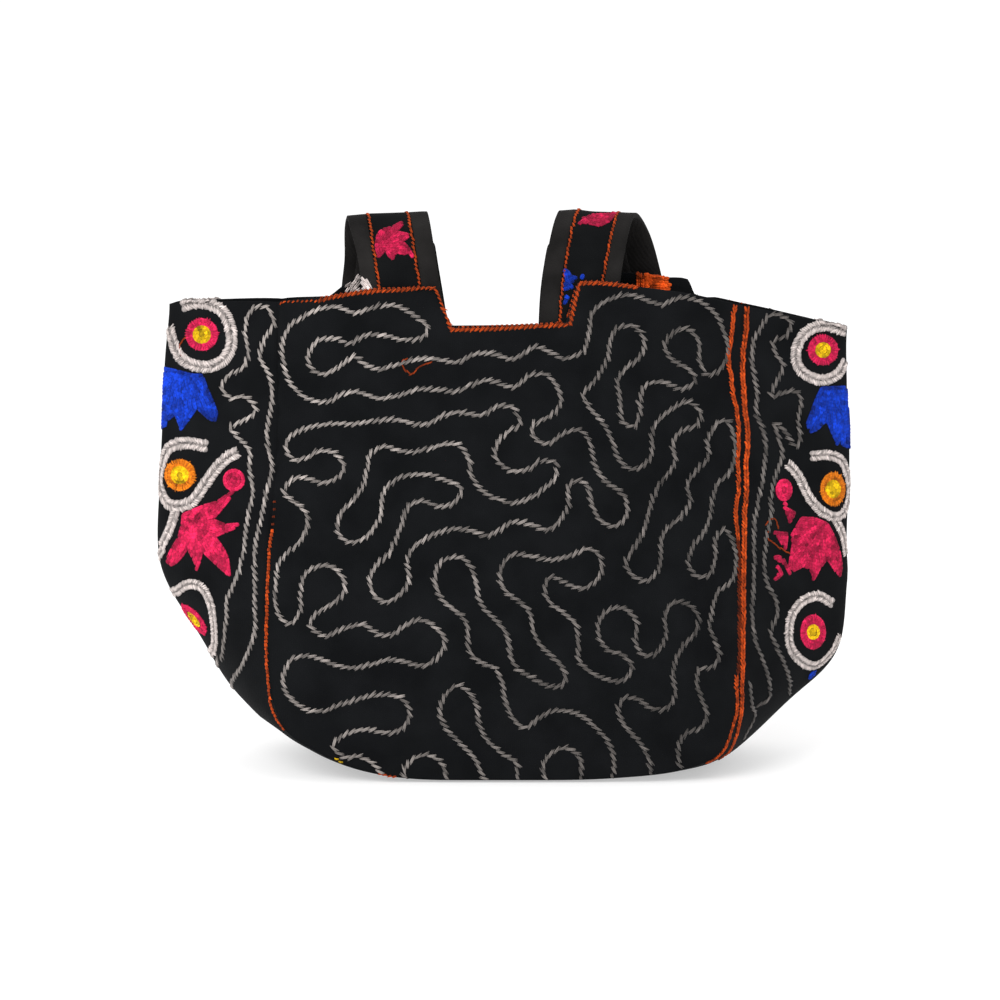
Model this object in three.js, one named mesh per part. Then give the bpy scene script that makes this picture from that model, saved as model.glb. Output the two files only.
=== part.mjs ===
// Soft cloth tote bag that stands open on its base, with both handles folded over the back.
// Millimetres, +Z up. The front faces -Y, and the origin is the middle of the base on the ground.

import * as THREE from 'three';
import { LoftGeometry } from 'three/addons/geometries/LoftGeometry.js';

// Cloth thickness and clearances
const WALL = 2;
const HALF_WALL = WALL / 2;
const FLOOR = HALF_WALL;
const SEAM_INSET = 1.3;
const GAP = 0.35;

// Strap section: a plain lining with its edges turned up beside a narrower band
const STRAP_WIDTH = 44;
const STRAP_THICKNESS = 3;
const LINING_THICKNESS = 1.4;
const BAND_WIDTH = 23;
const BAND_GAP = 0.4;

// Side seam and side fold of the gusset, from the left mouth corner round the base to the right one
const STATIONS = [
  { seamX: -122, seamZ: 261.5, foldX: -184.5, foldZ: 260.5 },
  { seamX: -122.5, seamZ: 225, foldX: -188.5, foldZ: 228 },
  { seamX: -122.5, seamZ: 190, foldX: -190.5, foldZ: 190 },
  { seamX: -125, seamZ: 152, foldX: -193, foldZ: 150 },
  { seamX: -128, seamZ: 114, foldX: -194, foldZ: 117 },
  { seamX: -129, seamZ: 86, foldX: -186, foldZ: 96.5 },
  { seamX: -128, seamZ: 62, foldX: -171, foldZ: 74 },
  { seamX: -125, seamZ: 42, foldX: -156, foldZ: 47 },
  { seamX: -119, seamZ: 28, foldX: -139, foldZ: 27.5 },
  { seamX: -106, seamZ: 19, foldX: -119, foldZ: 12 },
  { seamX: -88, seamZ: 10, foldX: -97, foldZ: 3.5 },
  { seamX: -67, seamZ: 3.8, foldX: -72, foldZ: FLOOR },
  { seamX: -40, seamZ: FLOOR, foldX: -40, foldZ: FLOOR },
  { seamX: 0, seamZ: FLOOR, foldX: 0, foldZ: FLOOR },
  { seamX: 40, seamZ: FLOOR, foldX: 40, foldZ: FLOOR },
  { seamX: 78, seamZ: 3.4, foldX: 80, foldZ: FLOOR },
  { seamX: 98, seamZ: 7, foldX: 104, foldZ: FLOOR },
  { seamX: 114, seamZ: 12, foldX: 122, foldZ: 3 },
  { seamX: 122.5, seamZ: 22, foldX: 137, foldZ: 11 },
  { seamX: 126.5, seamZ: 41, foldX: 152, foldZ: 24 },
  { seamX: 129, seamZ: 62, foldX: 169, foldZ: 41 },
  { seamX: 130, seamZ: 86, foldX: 186, foldZ: 58 },
  { seamX: 130.5, seamZ: 112, foldX: 192.5, foldZ: 76 },
  { seamX: 131.5, seamZ: 152, foldX: 193, foldZ: 122 },
  { seamX: 132, seamZ: 188, foldX: 193, foldZ: 162 },
  { seamX: 131.5, seamZ: 225, foldX: 192, foldZ: 205 },
  { seamX: 130.5, seamZ: 259.5, foldX: 190.5, foldZ: 246 },
];
const LEFT_CORNER = 8;
const RIGHT_CORNER = 18;

// Half depth of the bag at each height, at the middle of a panel and at its side seams
const DEPTHS = [
  { z: 0, middle: 55, seam: 54 },
  { z: 30, middle: 58, seam: 53 },
  { z: 75, middle: 56, seam: 47 },
  { z: 115, middle: 49, seam: 37 },
  { z: 160, middle: 40, seam: 28 },
  { z: 200, middle: 31, seam: 21 },
  { z: 265, middle: 20, seam: 13 },
  { z: 310, middle: 15, seam: 10 },
];
const SEAM_REACH = 131;

// Soft dents in each panel: place, reach each way and depth
const FRONT_DENTS = [
  { x: 4, z: 196, reachX: 62, reachZ: 22, depth: 2.6 },
  { x: 117, z: 102, reachX: 13, reachZ: 42, depth: 4.5 },
  { x: -72, z: 112, reachX: 34, reachZ: 26, depth: 2.4 },
  { x: 38, z: 74, reachX: 48, reachZ: 20, depth: 2.2 },
  { x: -20, z: 22, reachX: 70, reachZ: 9, depth: 1.8 },
];
const BACK_DENTS = [
  { x: -58, z: 150, reachX: 40, reachZ: 30, depth: 2.4 },
  { x: 70, z: 92, reachX: 42, reachZ: 26, depth: 2.4 },
];

// Top edges of the panels from left to right, with the notch between the two handle tabs
const FRONT_TOP = [
  { x: -122, z: 261.5 },
  { x: -96, z: 264 },
  { x: -71, z: 268.5 },
  { x: -37, z: 269 },
  { x: -28.6, z: 247.5 },
  { x: 34.5, z: 250 },
  { x: 40.4, z: 272 },
  { x: 53, z: 272.2 },
  { x: 101, z: 266 },
  { x: 130.5, z: 259.5 },
];
const BACK_TOP = [
  { x: -122, z: 261.5 },
  { x: -97, z: 262 },
  { x: -86, z: 271 },
  { x: -38, z: 273 },
  { x: -31, z: 245 },
  { x: 36, z: 245.5 },
  { x: 42, z: 275.5 },
  { x: 75, z: 275.2 },
  { x: 103.5, z: 270.5 },
  { x: 107, z: 264 },
  { x: 130.5, z: 259.5 },
];

// Handle laid flat: sideways place against distance along the cloth from the sewn ends
const HANDLE_LOOP = [
  { x: -51, run: 0 },
  { x: -56.5, run: 36 },
  { x: -64, run: 84 },
  { x: -70, run: 125 },
  { x: -72, run: 165 },
  { x: -53, run: 218 },
  { x: 1, run: 241 },
  { x: 55, run: 218 },
  { x: 75, run: 165 },
  { x: 69, run: 125 },
  { x: 53.5, run: 84 },
  { x: 43.5, run: 38 },
  { x: 41.5, run: 0 },
];

// Side view of each handle: seat inside its panel, free arch over the mouth, fall behind the back panel
const SEWN_HEIGHTS = [232, 250, 267];
const STRAP_SEAT = HALF_WALL + GAP + STRAP_THICKNESS / 2;
const STRAP_REFERENCE_X = 50;
const MOUTH_HALF = 15;
const FRONT_ARCH = [
  { y: -12, z: 285 },
  { y: -4.5, z: 300.5 },
  { y: 6, z: 307.8 },
  { y: 18, z: 304 },
  { y: 27, z: 294.5 },
  { y: 32.3, z: 280 },
  { y: 32, z: 260 },
];
const BACK_ARCH = [
  { y: 13.5, z: 279 },
  { y: 20.5, z: 290.5 },
  { y: 27.6, z: 281 },
  { y: 26.2, z: 263 },
];
const FRONT_FALL = [236, 220, 205, 175, 145, 115, 90];
const BACK_FALL = [240, 222, 205, 175, 145, 115, 85, 55];
const FRONT_STAND_OFF = STRAP_SEAT + STRAP_THICKNESS + 2 * GAP;

// Mesh fineness
const PANEL_ROWS = 16;
const PANEL_COLUMN = 13;
const GUSSET_STEPS_PER_STATION = 2;
const FOLD_STEPS = [1, 0.66, 0.36, 0.16, 0.05];
const FOLD_ROUNDNESS = 0.65;
const STRAP_SECTIONS = 78;
const STRAP_STEP = 11;
const STRAP_TURN = 0.4;
const PATH_SAMPLES = 600;
const NUDGE = 0.01;

const depthCurve = new THREE.CubicInterpolant(
  DEPTHS.map((row) => row.z),
  DEPTHS.flatMap((row) => [row.middle, row.seam]),
  2,
);

// Half depth of the smooth bag at a place of a panel
function halfDepth(x, z) {
  const [middle, seam] = depthCurve.evaluate(z);
  const across = x / SEAM_REACH;
  return seam + (middle - seam) * (1 - across * across);
}

// How far the cloth is pressed in at a place
function dentDepth(dents, x, z) {
  let sum = 0;
  for (const dent of dents) {
    const away = ((x - dent.x) / dent.reachX) ** 2 + ((z - dent.z) / dent.reachZ) ** 2;
    sum += dent.depth * Math.exp(-away);
  }
  return sum;
}

function frontY(x, z) {
  return dentDepth(FRONT_DENTS, x, z) - halfDepth(x, z);
}

function backY(x, z) {
  return halfDepth(x, z) - dentDepth(BACK_DENTS, x, z);
}

// Seam and fold lines of the gusset in the front view, with one station for each whole step
const lastStation = STATIONS.length - 1;
const seamLine = new THREE.CatmullRomCurve3(STATIONS.map((row) => new THREE.Vector3(row.seamX, 0, row.seamZ)));
const foldLine = new THREE.CatmullRomCurve3(STATIONS.map((row) => new THREE.Vector3(row.foldX, 0, row.foldZ)));

function pointAtStation(line, station) {
  const point = line.getPoint(THREE.MathUtils.clamp(station / lastStation, 0, 1));
  point.z = Math.max(point.z, FLOOR);
  return point;
}

// Rings round the two faces of a wall, one for each row of its middle surface
function wallRings(rows) {
  return rows.map((row) => {
    const outer = row.map(({ point, normal }) => point.clone().addScaledVector(normal, HALF_WALL));
    const inner = row.map(({ point, normal }) => point.clone().addScaledVector(normal, -HALF_WALL));
    return [...outer, ...inner.reverse()];
  });
}

function loft(rings) {
  return new LoftGeometry(rings, { capStart: true, capEnd: true });
}

// Edge of a panel beside the gusset, a little inside the seam line
function panelEdge(station) {
  const point = pointAtStation(seamLine, station);
  const ahead = pointAtStation(seamLine, station + NUDGE);
  const behind = pointAtStation(seamLine, station - NUDGE);
  const along = ahead.sub(behind).normalize();
  return new THREE.Vector3(point.x - along.z * SEAM_INSET, 0, point.z + along.x * SEAM_INSET);
}

// Places across the top edge: its corners, with wide stretches divided
function topPoints(edge) {
  const places = [];
  edge.slice(1).forEach((end, index) => {
    const start = edge[index];
    const steps = Math.max(1, Math.round((end.x - start.x) / PANEL_COLUMN));
    for (let step = 0; step < steps; step += 1) {
      const share = step / steps;
      places.push(new THREE.Vector3(
        THREE.MathUtils.lerp(start.x, end.x, share), 0, THREE.MathUtils.lerp(start.z, end.z, share)));
    }
  });
  const last = edge[edge.length - 1];
  places.push(new THREE.Vector3(last.x, 0, last.z));
  places[0].x += SEAM_INSET;
  places[places.length - 1].x -= SEAM_INSET;
  return places;
}

// Panel hung between its bottom edge, two side seams and top edge, then set to the bag's depth
function panelGeometry(topEdge, depthAt) {
  const top = topPoints(topEdge);
  const [topLeft, topRight] = [top[0], top[top.length - 1]];
  const bottomLeft = panelEdge(LEFT_CORNER);
  const bottomRight = panelEdge(RIGHT_CORNER);
  const surfaceNormal = (x, z) => new THREE.Vector3(
    depthAt(x - NUDGE, z) - depthAt(x + NUDGE, z),
    2 * NUDGE,
    depthAt(x, z - NUDGE) - depthAt(x, z + NUDGE),
  ).normalize();

  const columns = top.map((topPoint) => {
    const across = (topPoint.x - topLeft.x) / (topRight.x - topLeft.x);
    const bottom = panelEdge(THREE.MathUtils.lerp(LEFT_CORNER, RIGHT_CORNER, across));
    const column = [];
    for (let row = 0; row <= PANEL_ROWS; row += 1) {
      const up = row / PANEL_ROWS;
      const left = row === PANEL_ROWS ? topLeft : panelEdge(THREE.MathUtils.lerp(LEFT_CORNER, 0, up));
      const right = row === PANEL_ROWS ? topRight : panelEdge(THREE.MathUtils.lerp(RIGHT_CORNER, lastStation, up));
      const point = new THREE.Vector3()
        .addScaledVector(bottom, 1 - up)
        .addScaledVector(topPoint, up)
        .addScaledVector(left, 1 - across)
        .addScaledVector(right, across)
        .addScaledVector(bottomLeft, -(1 - across) * (1 - up))
        .addScaledVector(bottomRight, -across * (1 - up))
        .addScaledVector(topLeft, -(1 - across) * up)
        .addScaledVector(topRight, -across * up);
      const normal = surfaceNormal(point.x, point.z);
      point.y = depthAt(point.x, point.z);
      column.push({ point, normal });
    }
    return column;
  });
  return loft(wallRings(columns));
}

// Point of the gusset's middle surface: side runs from -1 at the front seam over the fold to 1 at the back
function gussetPoint(station, side) {
  const seam = pointAtStation(seamLine, station);
  const point = pointAtStation(foldLine, station).lerp(seam, Math.abs(side));
  const spread = Math.sign(side) * Math.abs(side) ** FOLD_ROUNDNESS;
  const seamY = side < 0 ? -frontY(seam.x, seam.z) : backY(seam.x, seam.z);
  point.y = spread * seamY;
  return point;
}

function gussetNormal(station, side) {
  const along = gussetPoint(station + NUDGE, side).sub(gussetPoint(station - NUDGE, side));
  const across = gussetPoint(station, side + NUDGE).sub(gussetPoint(station, side - NUDGE));
  return across.cross(along).normalize();
}

function gussetGeometry() {
  const reach = (station) => {
    const width = gussetPoint(station, -1).distanceTo(gussetPoint(station, 0));
    return 1 - SEAM_INSET / width;
  };
  const rows = [];
  for (let step = 0; step <= lastStation * GUSSET_STEPS_PER_STATION; step += 1) {
    const station = step / GUSSET_STEPS_PER_STATION;
    const front = FOLD_STEPS.map((share) => -share * reach(station));
    const back = FOLD_STEPS.map((share) => share * reach(station)).reverse();
    rows.push([...front, 0, ...back].map((side) => ({
      point: gussetPoint(station, side),
      normal: gussetNormal(station, side),
    })));
  }
  return loft(wallRings(rows));
}

// Side view of a handle from its sewn end, up over its arch and down behind the back panel
function handleProfile({ sewnSide, arch, fall, standOff }) {
  const sewn = SEWN_HEIGHTS.map((z) => ({
    y: sewnSide * (halfDepth(STRAP_REFERENCE_X, z) - STRAP_SEAT), z }));
  const hanging = fall.map((z) => ({ y: halfDepth(STRAP_REFERENCE_X, z) + standOff, z }));
  const points = [...sewn, ...arch, ...hanging].map(({ y, z }) => new THREE.Vector3(0, y, z));
  const curve = new THREE.CatmullRomCurve3(points);
  curve.arcLengthDivisions = PATH_SAMPLES;
  return curve;
}

// Place on a strap: how far sideways, how far along the profile and how high above the cloth's middle
function strapPoint(handle, x, run, height) {
  const share = THREE.MathUtils.clamp(run / handle.length, 0, 1);
  const point = handle.profile.getPointAt(share);
  const tangent = handle.profile.getTangentAt(share);
  const follow = THREE.MathUtils.clamp(point.y / MOUTH_HALF, -1, 1);
  const bow = halfDepth(x, point.z) - halfDepth(STRAP_REFERENCE_X, point.z);
  return new THREE.Vector3(
    x,
    point.y + follow * bow - handle.faceSide * tangent.z * height,
    point.z + handle.faceSide * tangent.y * height,
  );
}

// Places along the loop, closer together where the strap bends over its arch
function loopShares(handle, loop) {
  const costs = [0];
  for (let index = 1; index <= PATH_SAMPLES; index += 1) {
    const before = loop.getPointAt((index - 1) / PATH_SAMPLES);
    const after = loop.getPointAt(index / PATH_SAMPLES);
    const turn = handle.profile.getTangentAt(Math.min(before.y / handle.length, 1))
      .angleTo(handle.profile.getTangentAt(Math.min(after.y / handle.length, 1)));
    costs.push(costs[index - 1] + before.distanceTo(after) / STRAP_STEP + turn / STRAP_TURN);
  }
  const shares = [];
  let index = 0;
  for (let section = 0; section <= STRAP_SECTIONS; section += 1) {
    const wanted = costs[PATH_SAMPLES] * section / STRAP_SECTIONS;
    while (index < PATH_SAMPLES && costs[index] < wanted) index += 1;
    shares.push(index / PATH_SAMPLES);
  }
  return shares;
}

// Strip swept along the handle, from a section of places across and heights above the strap's middle
function handleGeometry(handle, section) {
  const loop = new THREE.CatmullRomCurve3(HANDLE_LOOP.map(({ x, run }) => new THREE.Vector3(x, run, 0)));
  loop.arcLengthDivisions = PATH_SAMPLES;
  const rings = loopShares(handle, loop).map((share) => {
    const centre = loop.getPointAt(share);
    const along = loop.getTangentAt(share);
    return section.map(({ across, height }) => strapPoint(
      handle,
      centre.x - handle.faceSide * along.y * across,
      centre.y + handle.faceSide * along.x * across,
      height,
    ));
  });
  return loft(rings);
}

// Section of the lining: flat back with both edges turned up to the face of the band
function liningSection() {
  const edge = STRAP_WIDTH / 2;
  const lip = BAND_WIDTH / 2 + BAND_GAP;
  const face = STRAP_THICKNESS / 2;
  const bed = LINING_THICKNESS - face;
  return [
    { across: -edge, height: -face },
    { across: 0, height: -face },
    { across: edge, height: -face },
    { across: edge, height: face },
    { across: lip, height: face },
    { across: lip, height: bed },
    { across: 0, height: bed },
    { across: -lip, height: bed },
    { across: -lip, height: face },
    { across: -edge, height: face },
  ];
}

function bandSection() {
  const edge = BAND_WIDTH / 2;
  const face = STRAP_THICKNESS / 2;
  const bed = LINING_THICKNESS - face + BAND_GAP;
  return [
    { across: -edge, height: bed },
    { across: 0, height: bed },
    { across: edge, height: bed },
    { across: edge, height: face },
    { across: 0, height: face },
    { across: -edge, height: face },
  ];
}

// A handle with its face outwards on the side that its face points to
function makeHandle(faceSide, profile) {
  return { faceSide, profile, length: profile.getLength() };
}

const frontHandle = makeHandle(1, handleProfile({
  sewnSide: -1, arch: FRONT_ARCH, fall: FRONT_FALL, standOff: FRONT_STAND_OFF }));
const backHandle = makeHandle(-1, handleProfile({
  sewnSide: 1, arch: BACK_ARCH, fall: BACK_FALL, standOff: STRAP_SEAT }));

// Cloth colours
const blackCloth = { color: 0x18191b, roughness: 0.95, metalness: 0 };
const bandCloth = { color: 0x151516, roughness: 0.95, metalness: 0 };
const twill = { color: 0x262423, roughness: 0.9, metalness: 0 };

const bag = new THREE.Group();

function addPiece(name, geometry, finish) {
  const mesh = new THREE.Mesh(geometry, new THREE.MeshStandardMaterial(finish));
  mesh.name = name;
  bag.add(mesh);
}

addPiece('front_panel', panelGeometry(FRONT_TOP, frontY), blackCloth);
addPiece('back_panel', panelGeometry(BACK_TOP, backY), blackCloth);
addPiece('gusset', gussetGeometry(), blackCloth);
addPiece('front_handle_lining', handleGeometry(frontHandle, liningSection()), twill);
addPiece('front_handle_band', handleGeometry(frontHandle, bandSection()), bandCloth);
addPiece('back_handle_lining', handleGeometry(backHandle, liningSection()), twill);
addPiece('back_handle_band', handleGeometry(backHandle, bandSection()), bandCloth);

export default bag;
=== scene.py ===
# %% [markdown]
# # An embroidered tote bag
# The bag is soft black cloth: two panels, one long gusset that is folded outwards at both sides, and
# two handles that hang over the back. White rope stitch wanders over the panels, and chain stitch fills
# the flowers on the gusset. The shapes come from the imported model. This lesson softens them, sews every
# stitch as a small strand of thread, and lights the result like a studio photograph.

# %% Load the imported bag
import math
from itertools import groupby

import bmesh
import bpy
import numpy as np
from mathutils import Matrix, Vector, noise
from mathutils.bvhtree import BVHTree


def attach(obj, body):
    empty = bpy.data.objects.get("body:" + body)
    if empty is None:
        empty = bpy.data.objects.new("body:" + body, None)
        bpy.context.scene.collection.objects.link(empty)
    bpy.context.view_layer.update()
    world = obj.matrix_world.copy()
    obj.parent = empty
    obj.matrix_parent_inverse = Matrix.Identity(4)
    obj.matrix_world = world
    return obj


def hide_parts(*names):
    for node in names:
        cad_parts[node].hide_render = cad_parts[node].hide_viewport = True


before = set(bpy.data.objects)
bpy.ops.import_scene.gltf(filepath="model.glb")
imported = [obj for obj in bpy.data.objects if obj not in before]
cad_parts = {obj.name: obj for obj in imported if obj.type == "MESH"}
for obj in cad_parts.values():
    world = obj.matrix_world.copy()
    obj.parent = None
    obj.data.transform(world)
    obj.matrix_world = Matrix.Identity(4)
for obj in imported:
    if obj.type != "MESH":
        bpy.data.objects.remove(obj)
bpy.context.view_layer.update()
print("packed pieces:", ", ".join(sorted(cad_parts)))

# %% [markdown]
# ## The camera comes first
# Stitches are easiest to chart on the photograph, so the camera is made before them. It could be set by
# eye, but its lens, distance and height also turn a charted pixel into a line of sight, and that line
# finds the cloth that the stitch is sewn to.

# %% Place the camera
MM = 0.001
LENS = 100.0
SENSOR = 36.0
EYE_ANGLE = math.radians(8)
EYE_DISTANCE = 1.556
AIM = Vector((-0.0017, 0.0, 0.149))

forward = Vector((0, math.cos(EYE_ANGLE), -math.sin(EYE_ANGLE)))
upward = Vector((0, math.sin(EYE_ANGLE), math.cos(EYE_ANGLE)))
eye = AIM - forward * EYE_DISTANCE


def add_object(name, data):
    """A new object, linked to the scene."""
    made = bpy.data.objects.new(name, data)
    bpy.context.scene.collection.objects.link(made)
    return made


lens_data = bpy.data.cameras.new("photo_camera")
lens_data.lens = LENS
lens_data.sensor_width = SENSOR
camera = add_object("photo_camera", lens_data)
camera.location = eye
camera.rotation_euler = (math.pi / 2 - EYE_ANGLE, 0, 0)
bpy.context.scene.camera = camera
print("camera at", [round(x, 3) for x in eye])

# %% Turn a pixel into a line of sight
PHOTO_SIDE = 1000
FOCAL_PX = PHOTO_SIDE * LENS / SENSOR
PIXEL = EYE_DISTANCE / FOCAL_PX


def line_of_sight(px, py):
    """Direction from the eye through a pixel of the photograph."""
    right = (px - PHOTO_SIDE / 2) / FOCAL_PX
    rise = (PHOTO_SIDE / 2 - py) / FOCAL_PX
    return (forward + Vector((1, 0, 0)) * right + upward * rise).normalized()


print(f"one pixel covers {PIXEL / MM:.2f} mm of the bag")

# %% [markdown]
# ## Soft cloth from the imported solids
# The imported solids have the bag's true shape in flat facets. Each one is copied, its loose triangles are
# merged and joined back into four-sided faces, and a subdivision surface rounds the facets into cloth.
# The thin rims are creased first, because an uncreased rim would shrink and the notch in the mouth would
# lose its corners.

# %% Crease the rims
RIM_WALL = 3.2 * MM
RIM_ANGLE = 0.6
RIM_CREASE = 0.9
CORNER_ANGLE = math.radians(140)


def is_rim(face):
    """A long narrow face, as wide as the cloth is thick."""
    longest = max(edge.calc_length() for edge in face.edges)
    return face.calc_area() / longest < RIM_WALL


def crease_rims(bm):
    """Creases the edges of the rims, and the corners where a rim turns."""
    edge_crease = bm.edges.layers.float.new("crease_edge")
    vert_crease = bm.verts.layers.float.new("crease_vert")
    rims = {
        e for e in bm.edges
        if e.calc_face_angle() > RIM_ANGLE and any(is_rim(f) for f in e.link_faces)
    }
    for edge in rims:
        edge[edge_crease] = RIM_CREASE
    for vert in bm.verts:
        ends = [e.other_vert(vert).co - vert.co for e in vert.link_edges if e in rims]
        if len(ends) > 2 or (len(ends) == 2 and ends[0].angle(ends[1]) < CORNER_ANGLE):
            vert[vert_crease] = RIM_CREASE


print(f"a face narrower than {RIM_WALL / MM:.1f} mm is a rim")

# %% Copy the solids and round them
MERGE_REACH = 1e-6
QUAD_TILT = math.radians(40)
QUAD_SHAPE = math.radians(140)
ROUNDING = 2


def merged_copy(node):
    """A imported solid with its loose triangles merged."""
    bm = bmesh.new()
    bm.from_mesh(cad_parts[node].data)
    bmesh.ops.remove_doubles(bm, verts=bm.verts[:], dist=MERGE_REACH)
    return bm


def soften(node):
    """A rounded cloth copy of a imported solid, with the subdivision applied."""
    bm = merged_copy(node)
    bmesh.ops.join_triangles(
        bm, faces=bm.faces[:], angle_face_threshold=QUAD_TILT, angle_shape_threshold=QUAD_SHAPE)
    crease_rims(bm)
    rough = bpy.data.meshes.new(node + "_rough")
    bm.to_mesh(rough)
    bm.free()
    cloth = add_object(node + "_cloth", rough)
    rounding = cloth.modifiers.new("rounding", "SUBSURF")
    rounding.levels = ROUNDING
    rounding.render_levels = ROUNDING
    view = bpy.context.evaluated_depsgraph_get()
    cloth.data = bpy.data.meshes.new_from_object(cloth.evaluated_get(view))
    cloth.data.name = node + "_cloth"
    cloth.modifiers.clear()
    bpy.data.meshes.remove(rough)
    for face in cloth.data.polygons:
        face.use_smooth = True
    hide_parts(node)
    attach(cloth, "root")
    print(f"{cloth.name}: {len(cloth.data.polygons)} faces")
    return cloth


front_panel = soften("front_panel")
back_panel = soften("back_panel")
gusset = soften("gusset")
handle_pieces = {
    name: soften(name)
    for name in (
        "front_handle_lining", "front_handle_band", "back_handle_lining", "back_handle_band")
}

# %% [markdown]
# ## Closed seams
# A sewn seam has no slit in it, so the rims of the panels are drawn over to the gusset beside them, and
# the gusset to them. The panels could be joined to the gusset in one mesh, but on the real bag they are
# separate cuts of cloth, so they stay separate pieces that touch.

# %% Draw the seams shut
SEAM_REACH = 9 * MM
SEAM_SLIT = 3.8 * MM
SEAM_TOUCH = 0.02 * MM


def tree_of(*pieces):
    """One search tree over the faces of some pieces."""
    places, faces = [], []
    for piece in pieces:
        first = len(places)
        places.extend(v.co.copy() for v in piece.data.vertices)
        faces.extend([first + i for i in f.vertices] for f in piece.data.polygons)
    return BVHTree.FromPolygons(places, faces)


def ease(share):
    """Goes from 0 to 1 with a soft start and a soft end."""
    share = min(max(share, 0.0), 1.0)
    return share * share * (3 - 2 * share)


def draw_to(piece, neighbour):
    """Moves a piece's rim over to its neighbour, and fades the pull out behind the rim."""
    moved = 0
    for vert in piece.data.vertices:
        place, _, _, away = neighbour.find_nearest(vert.co, SEAM_REACH)
        if place is None or away < SEAM_TOUCH:
            continue
        pull = ease((SEAM_REACH - away) / (SEAM_REACH - SEAM_SLIT))
        reach = min(away - SEAM_TOUCH, SEAM_SLIT - SEAM_TOUCH)
        vert.co += (place - vert.co) / away * reach * pull
        moved += 1
    print(f"{piece.name}: {moved} points drawn to the seam")


seam_side = tree_of(gusset)
for panel in (front_panel, back_panel):
    draw_to(panel, seam_side)
draw_to(gusset, tree_of(front_panel, back_panel))

# %% [markdown]
# ## Pulled corners and a tucked base
# Handling pulls the corners of a cloth mouth up or down, and the full panels lift the belly of the
# gusset where it turns under the base. Both are small and local, so a soft push at a few places is
# enough.

# %% Pull the corners and tuck the base
PULLED_CORNERS = [
    (gusset, (-0.1855, 0, 0.2615), 8 * MM, -1.6 * MM),
    (back_panel, (0.101, 0.019, 0.271), 12 * MM, 1.7 * MM),
    (back_panel, (0.112, 0.019, 0.264), 9 * MM, -2.5 * MM),
]
BASE_TUCKS_MM = [(-136, -56, 6), (-165, -100, 1.8), (92, 126, 2), (118, 185, 2.4)]
TUCK_HALF = 52 * MM
TUCK_TOP = 60 * MM


def pull_corner(piece, corner, reach, lift):
    """Pulls a corner of the mouth up or down."""
    for vert in piece.data.vertices:
        away = (vert.co - Vector(corner)).length
        vert.co.z += lift * ease(1 - away / reach)


def tuck_base(piece, start, end, depth):
    """Lifts the belly of the gusset between two places along X."""
    for vert in piece.data.vertices:
        x, y, z = vert.co
        if start < x < end:
            belly = max(0, 1 - (y / TUCK_HALF) ** 2) * ease((TUCK_TOP - z) / TUCK_TOP * 2)
            vert.co.z += depth * math.sin(math.pi * (x - start) / (end - start)) * belly


for pulled in PULLED_CORNERS:
    pull_corner(*pulled)
for start, end, depth in BASE_TUCKS_MM:
    tuck_base(gusset, start * MM, end * MM, depth * MM)
print(f"{len(PULLED_CORNERS)} corners pulled, {len(BASE_TUCKS_MM)} places of the base tucked")

# %% [markdown]
# ## Slack cloth and leaning handles
# Cloth never hangs perfectly smooth. The slackness could come from a cloth simulation, but the bag stands
# by its own seams, so a few soft noise hollows that move both faces of the cloth together give the same
# gentle waves and keep its thickness. The handles stand on their own too: their arch leans inwards on
# both sides, and its top isn't level.

# %% Slacken the cloth
WAVE_DEPTH = 1.1 * MM
WAVE_SIZE = 34 * MM
WAVE_STRETCH = 0.8
WAVE_SHEET = 7.3
RIPPLE_DEPTH = 0.3 * MM
RIPPLE_SIZE = 11 * MM
RIPPLE_SHEET = 3.1
SEWN_FROM = 214 * MM
SEWN_TO = 236 * MM
FOLD_FADE = 16 * MM


def slacken(piece):
    """Waves the cloth along Y, least at the fold and none where the handles are sewn on."""
    deepest = 0
    for vert in piece.data.vertices:
        x, y, z = vert.co
        sewn_fade = ease((SEWN_TO - z) / (SEWN_TO - SEWN_FROM))
        fade = sewn_fade * ease(abs(y) / FOLD_FADE) * ease(z / FOLD_FADE)
        side = 1 if y > 0 else -1
        wave = noise.noise(Vector((x / WAVE_SIZE, side * WAVE_SHEET, z / WAVE_SIZE * WAVE_STRETCH)))
        ripple = noise.noise(Vector((x / RIPPLE_SIZE, side * RIPPLE_SHEET, z / RIPPLE_SIZE)))
        hollow = side * fade * (WAVE_DEPTH * (wave * 0.5 + 0.5) + RIPPLE_DEPTH * ripple)
        vert.co.y -= hollow
        deepest = max(deepest, abs(hollow))
    piece.data.update()
    print(f"{piece.name}: waves up to {deepest / MM:.2f} mm deep")


for piece in (front_panel, back_panel, gusset):
    slacken(piece)

# %% Lean the handles
LEAN_FROM, LEAN_RISE = 225 * MM, 30 * MM
RIGHT_LEAN, RIGHT_FROM, RIGHT_FADE = 4.2 * MM, 50 * MM, 35 * MM
LEFT_LEAN, LEFT_FROM, LEFT_FADE = 2.6 * MM, -70 * MM, 18 * MM
ARCH_TOP, ARCH_FADE = 309 * MM, 30 * MM
TOP_FROM, TOP_RISE = 280 * MM, 25 * MM
TOP_AT_MM = (-86, -73, -54, -45, 32, 40, 50, 77)
TOP_LIFT_MM = (-1.7, -0.6, 0, 0.5, 1.1, 1.7, 0.6, 0)


def lean(place):
    """How far a handle moves at a place."""
    x, _, z = place
    up = ease((z - LEAN_FROM) / LEAN_RISE)
    right = ease((x - RIGHT_FROM) / RIGHT_FADE) * up
    left = ease((LEFT_FROM - x) / LEFT_FADE) * ease((ARCH_TOP - z) / ARCH_FADE) * up
    lift = np.interp(x / MM, TOP_AT_MM, TOP_LIFT_MM) * MM * ease((z - TOP_FROM) / TOP_RISE)
    return Vector((LEFT_LEAN * left - RIGHT_LEAN * right, 0, lift))


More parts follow.
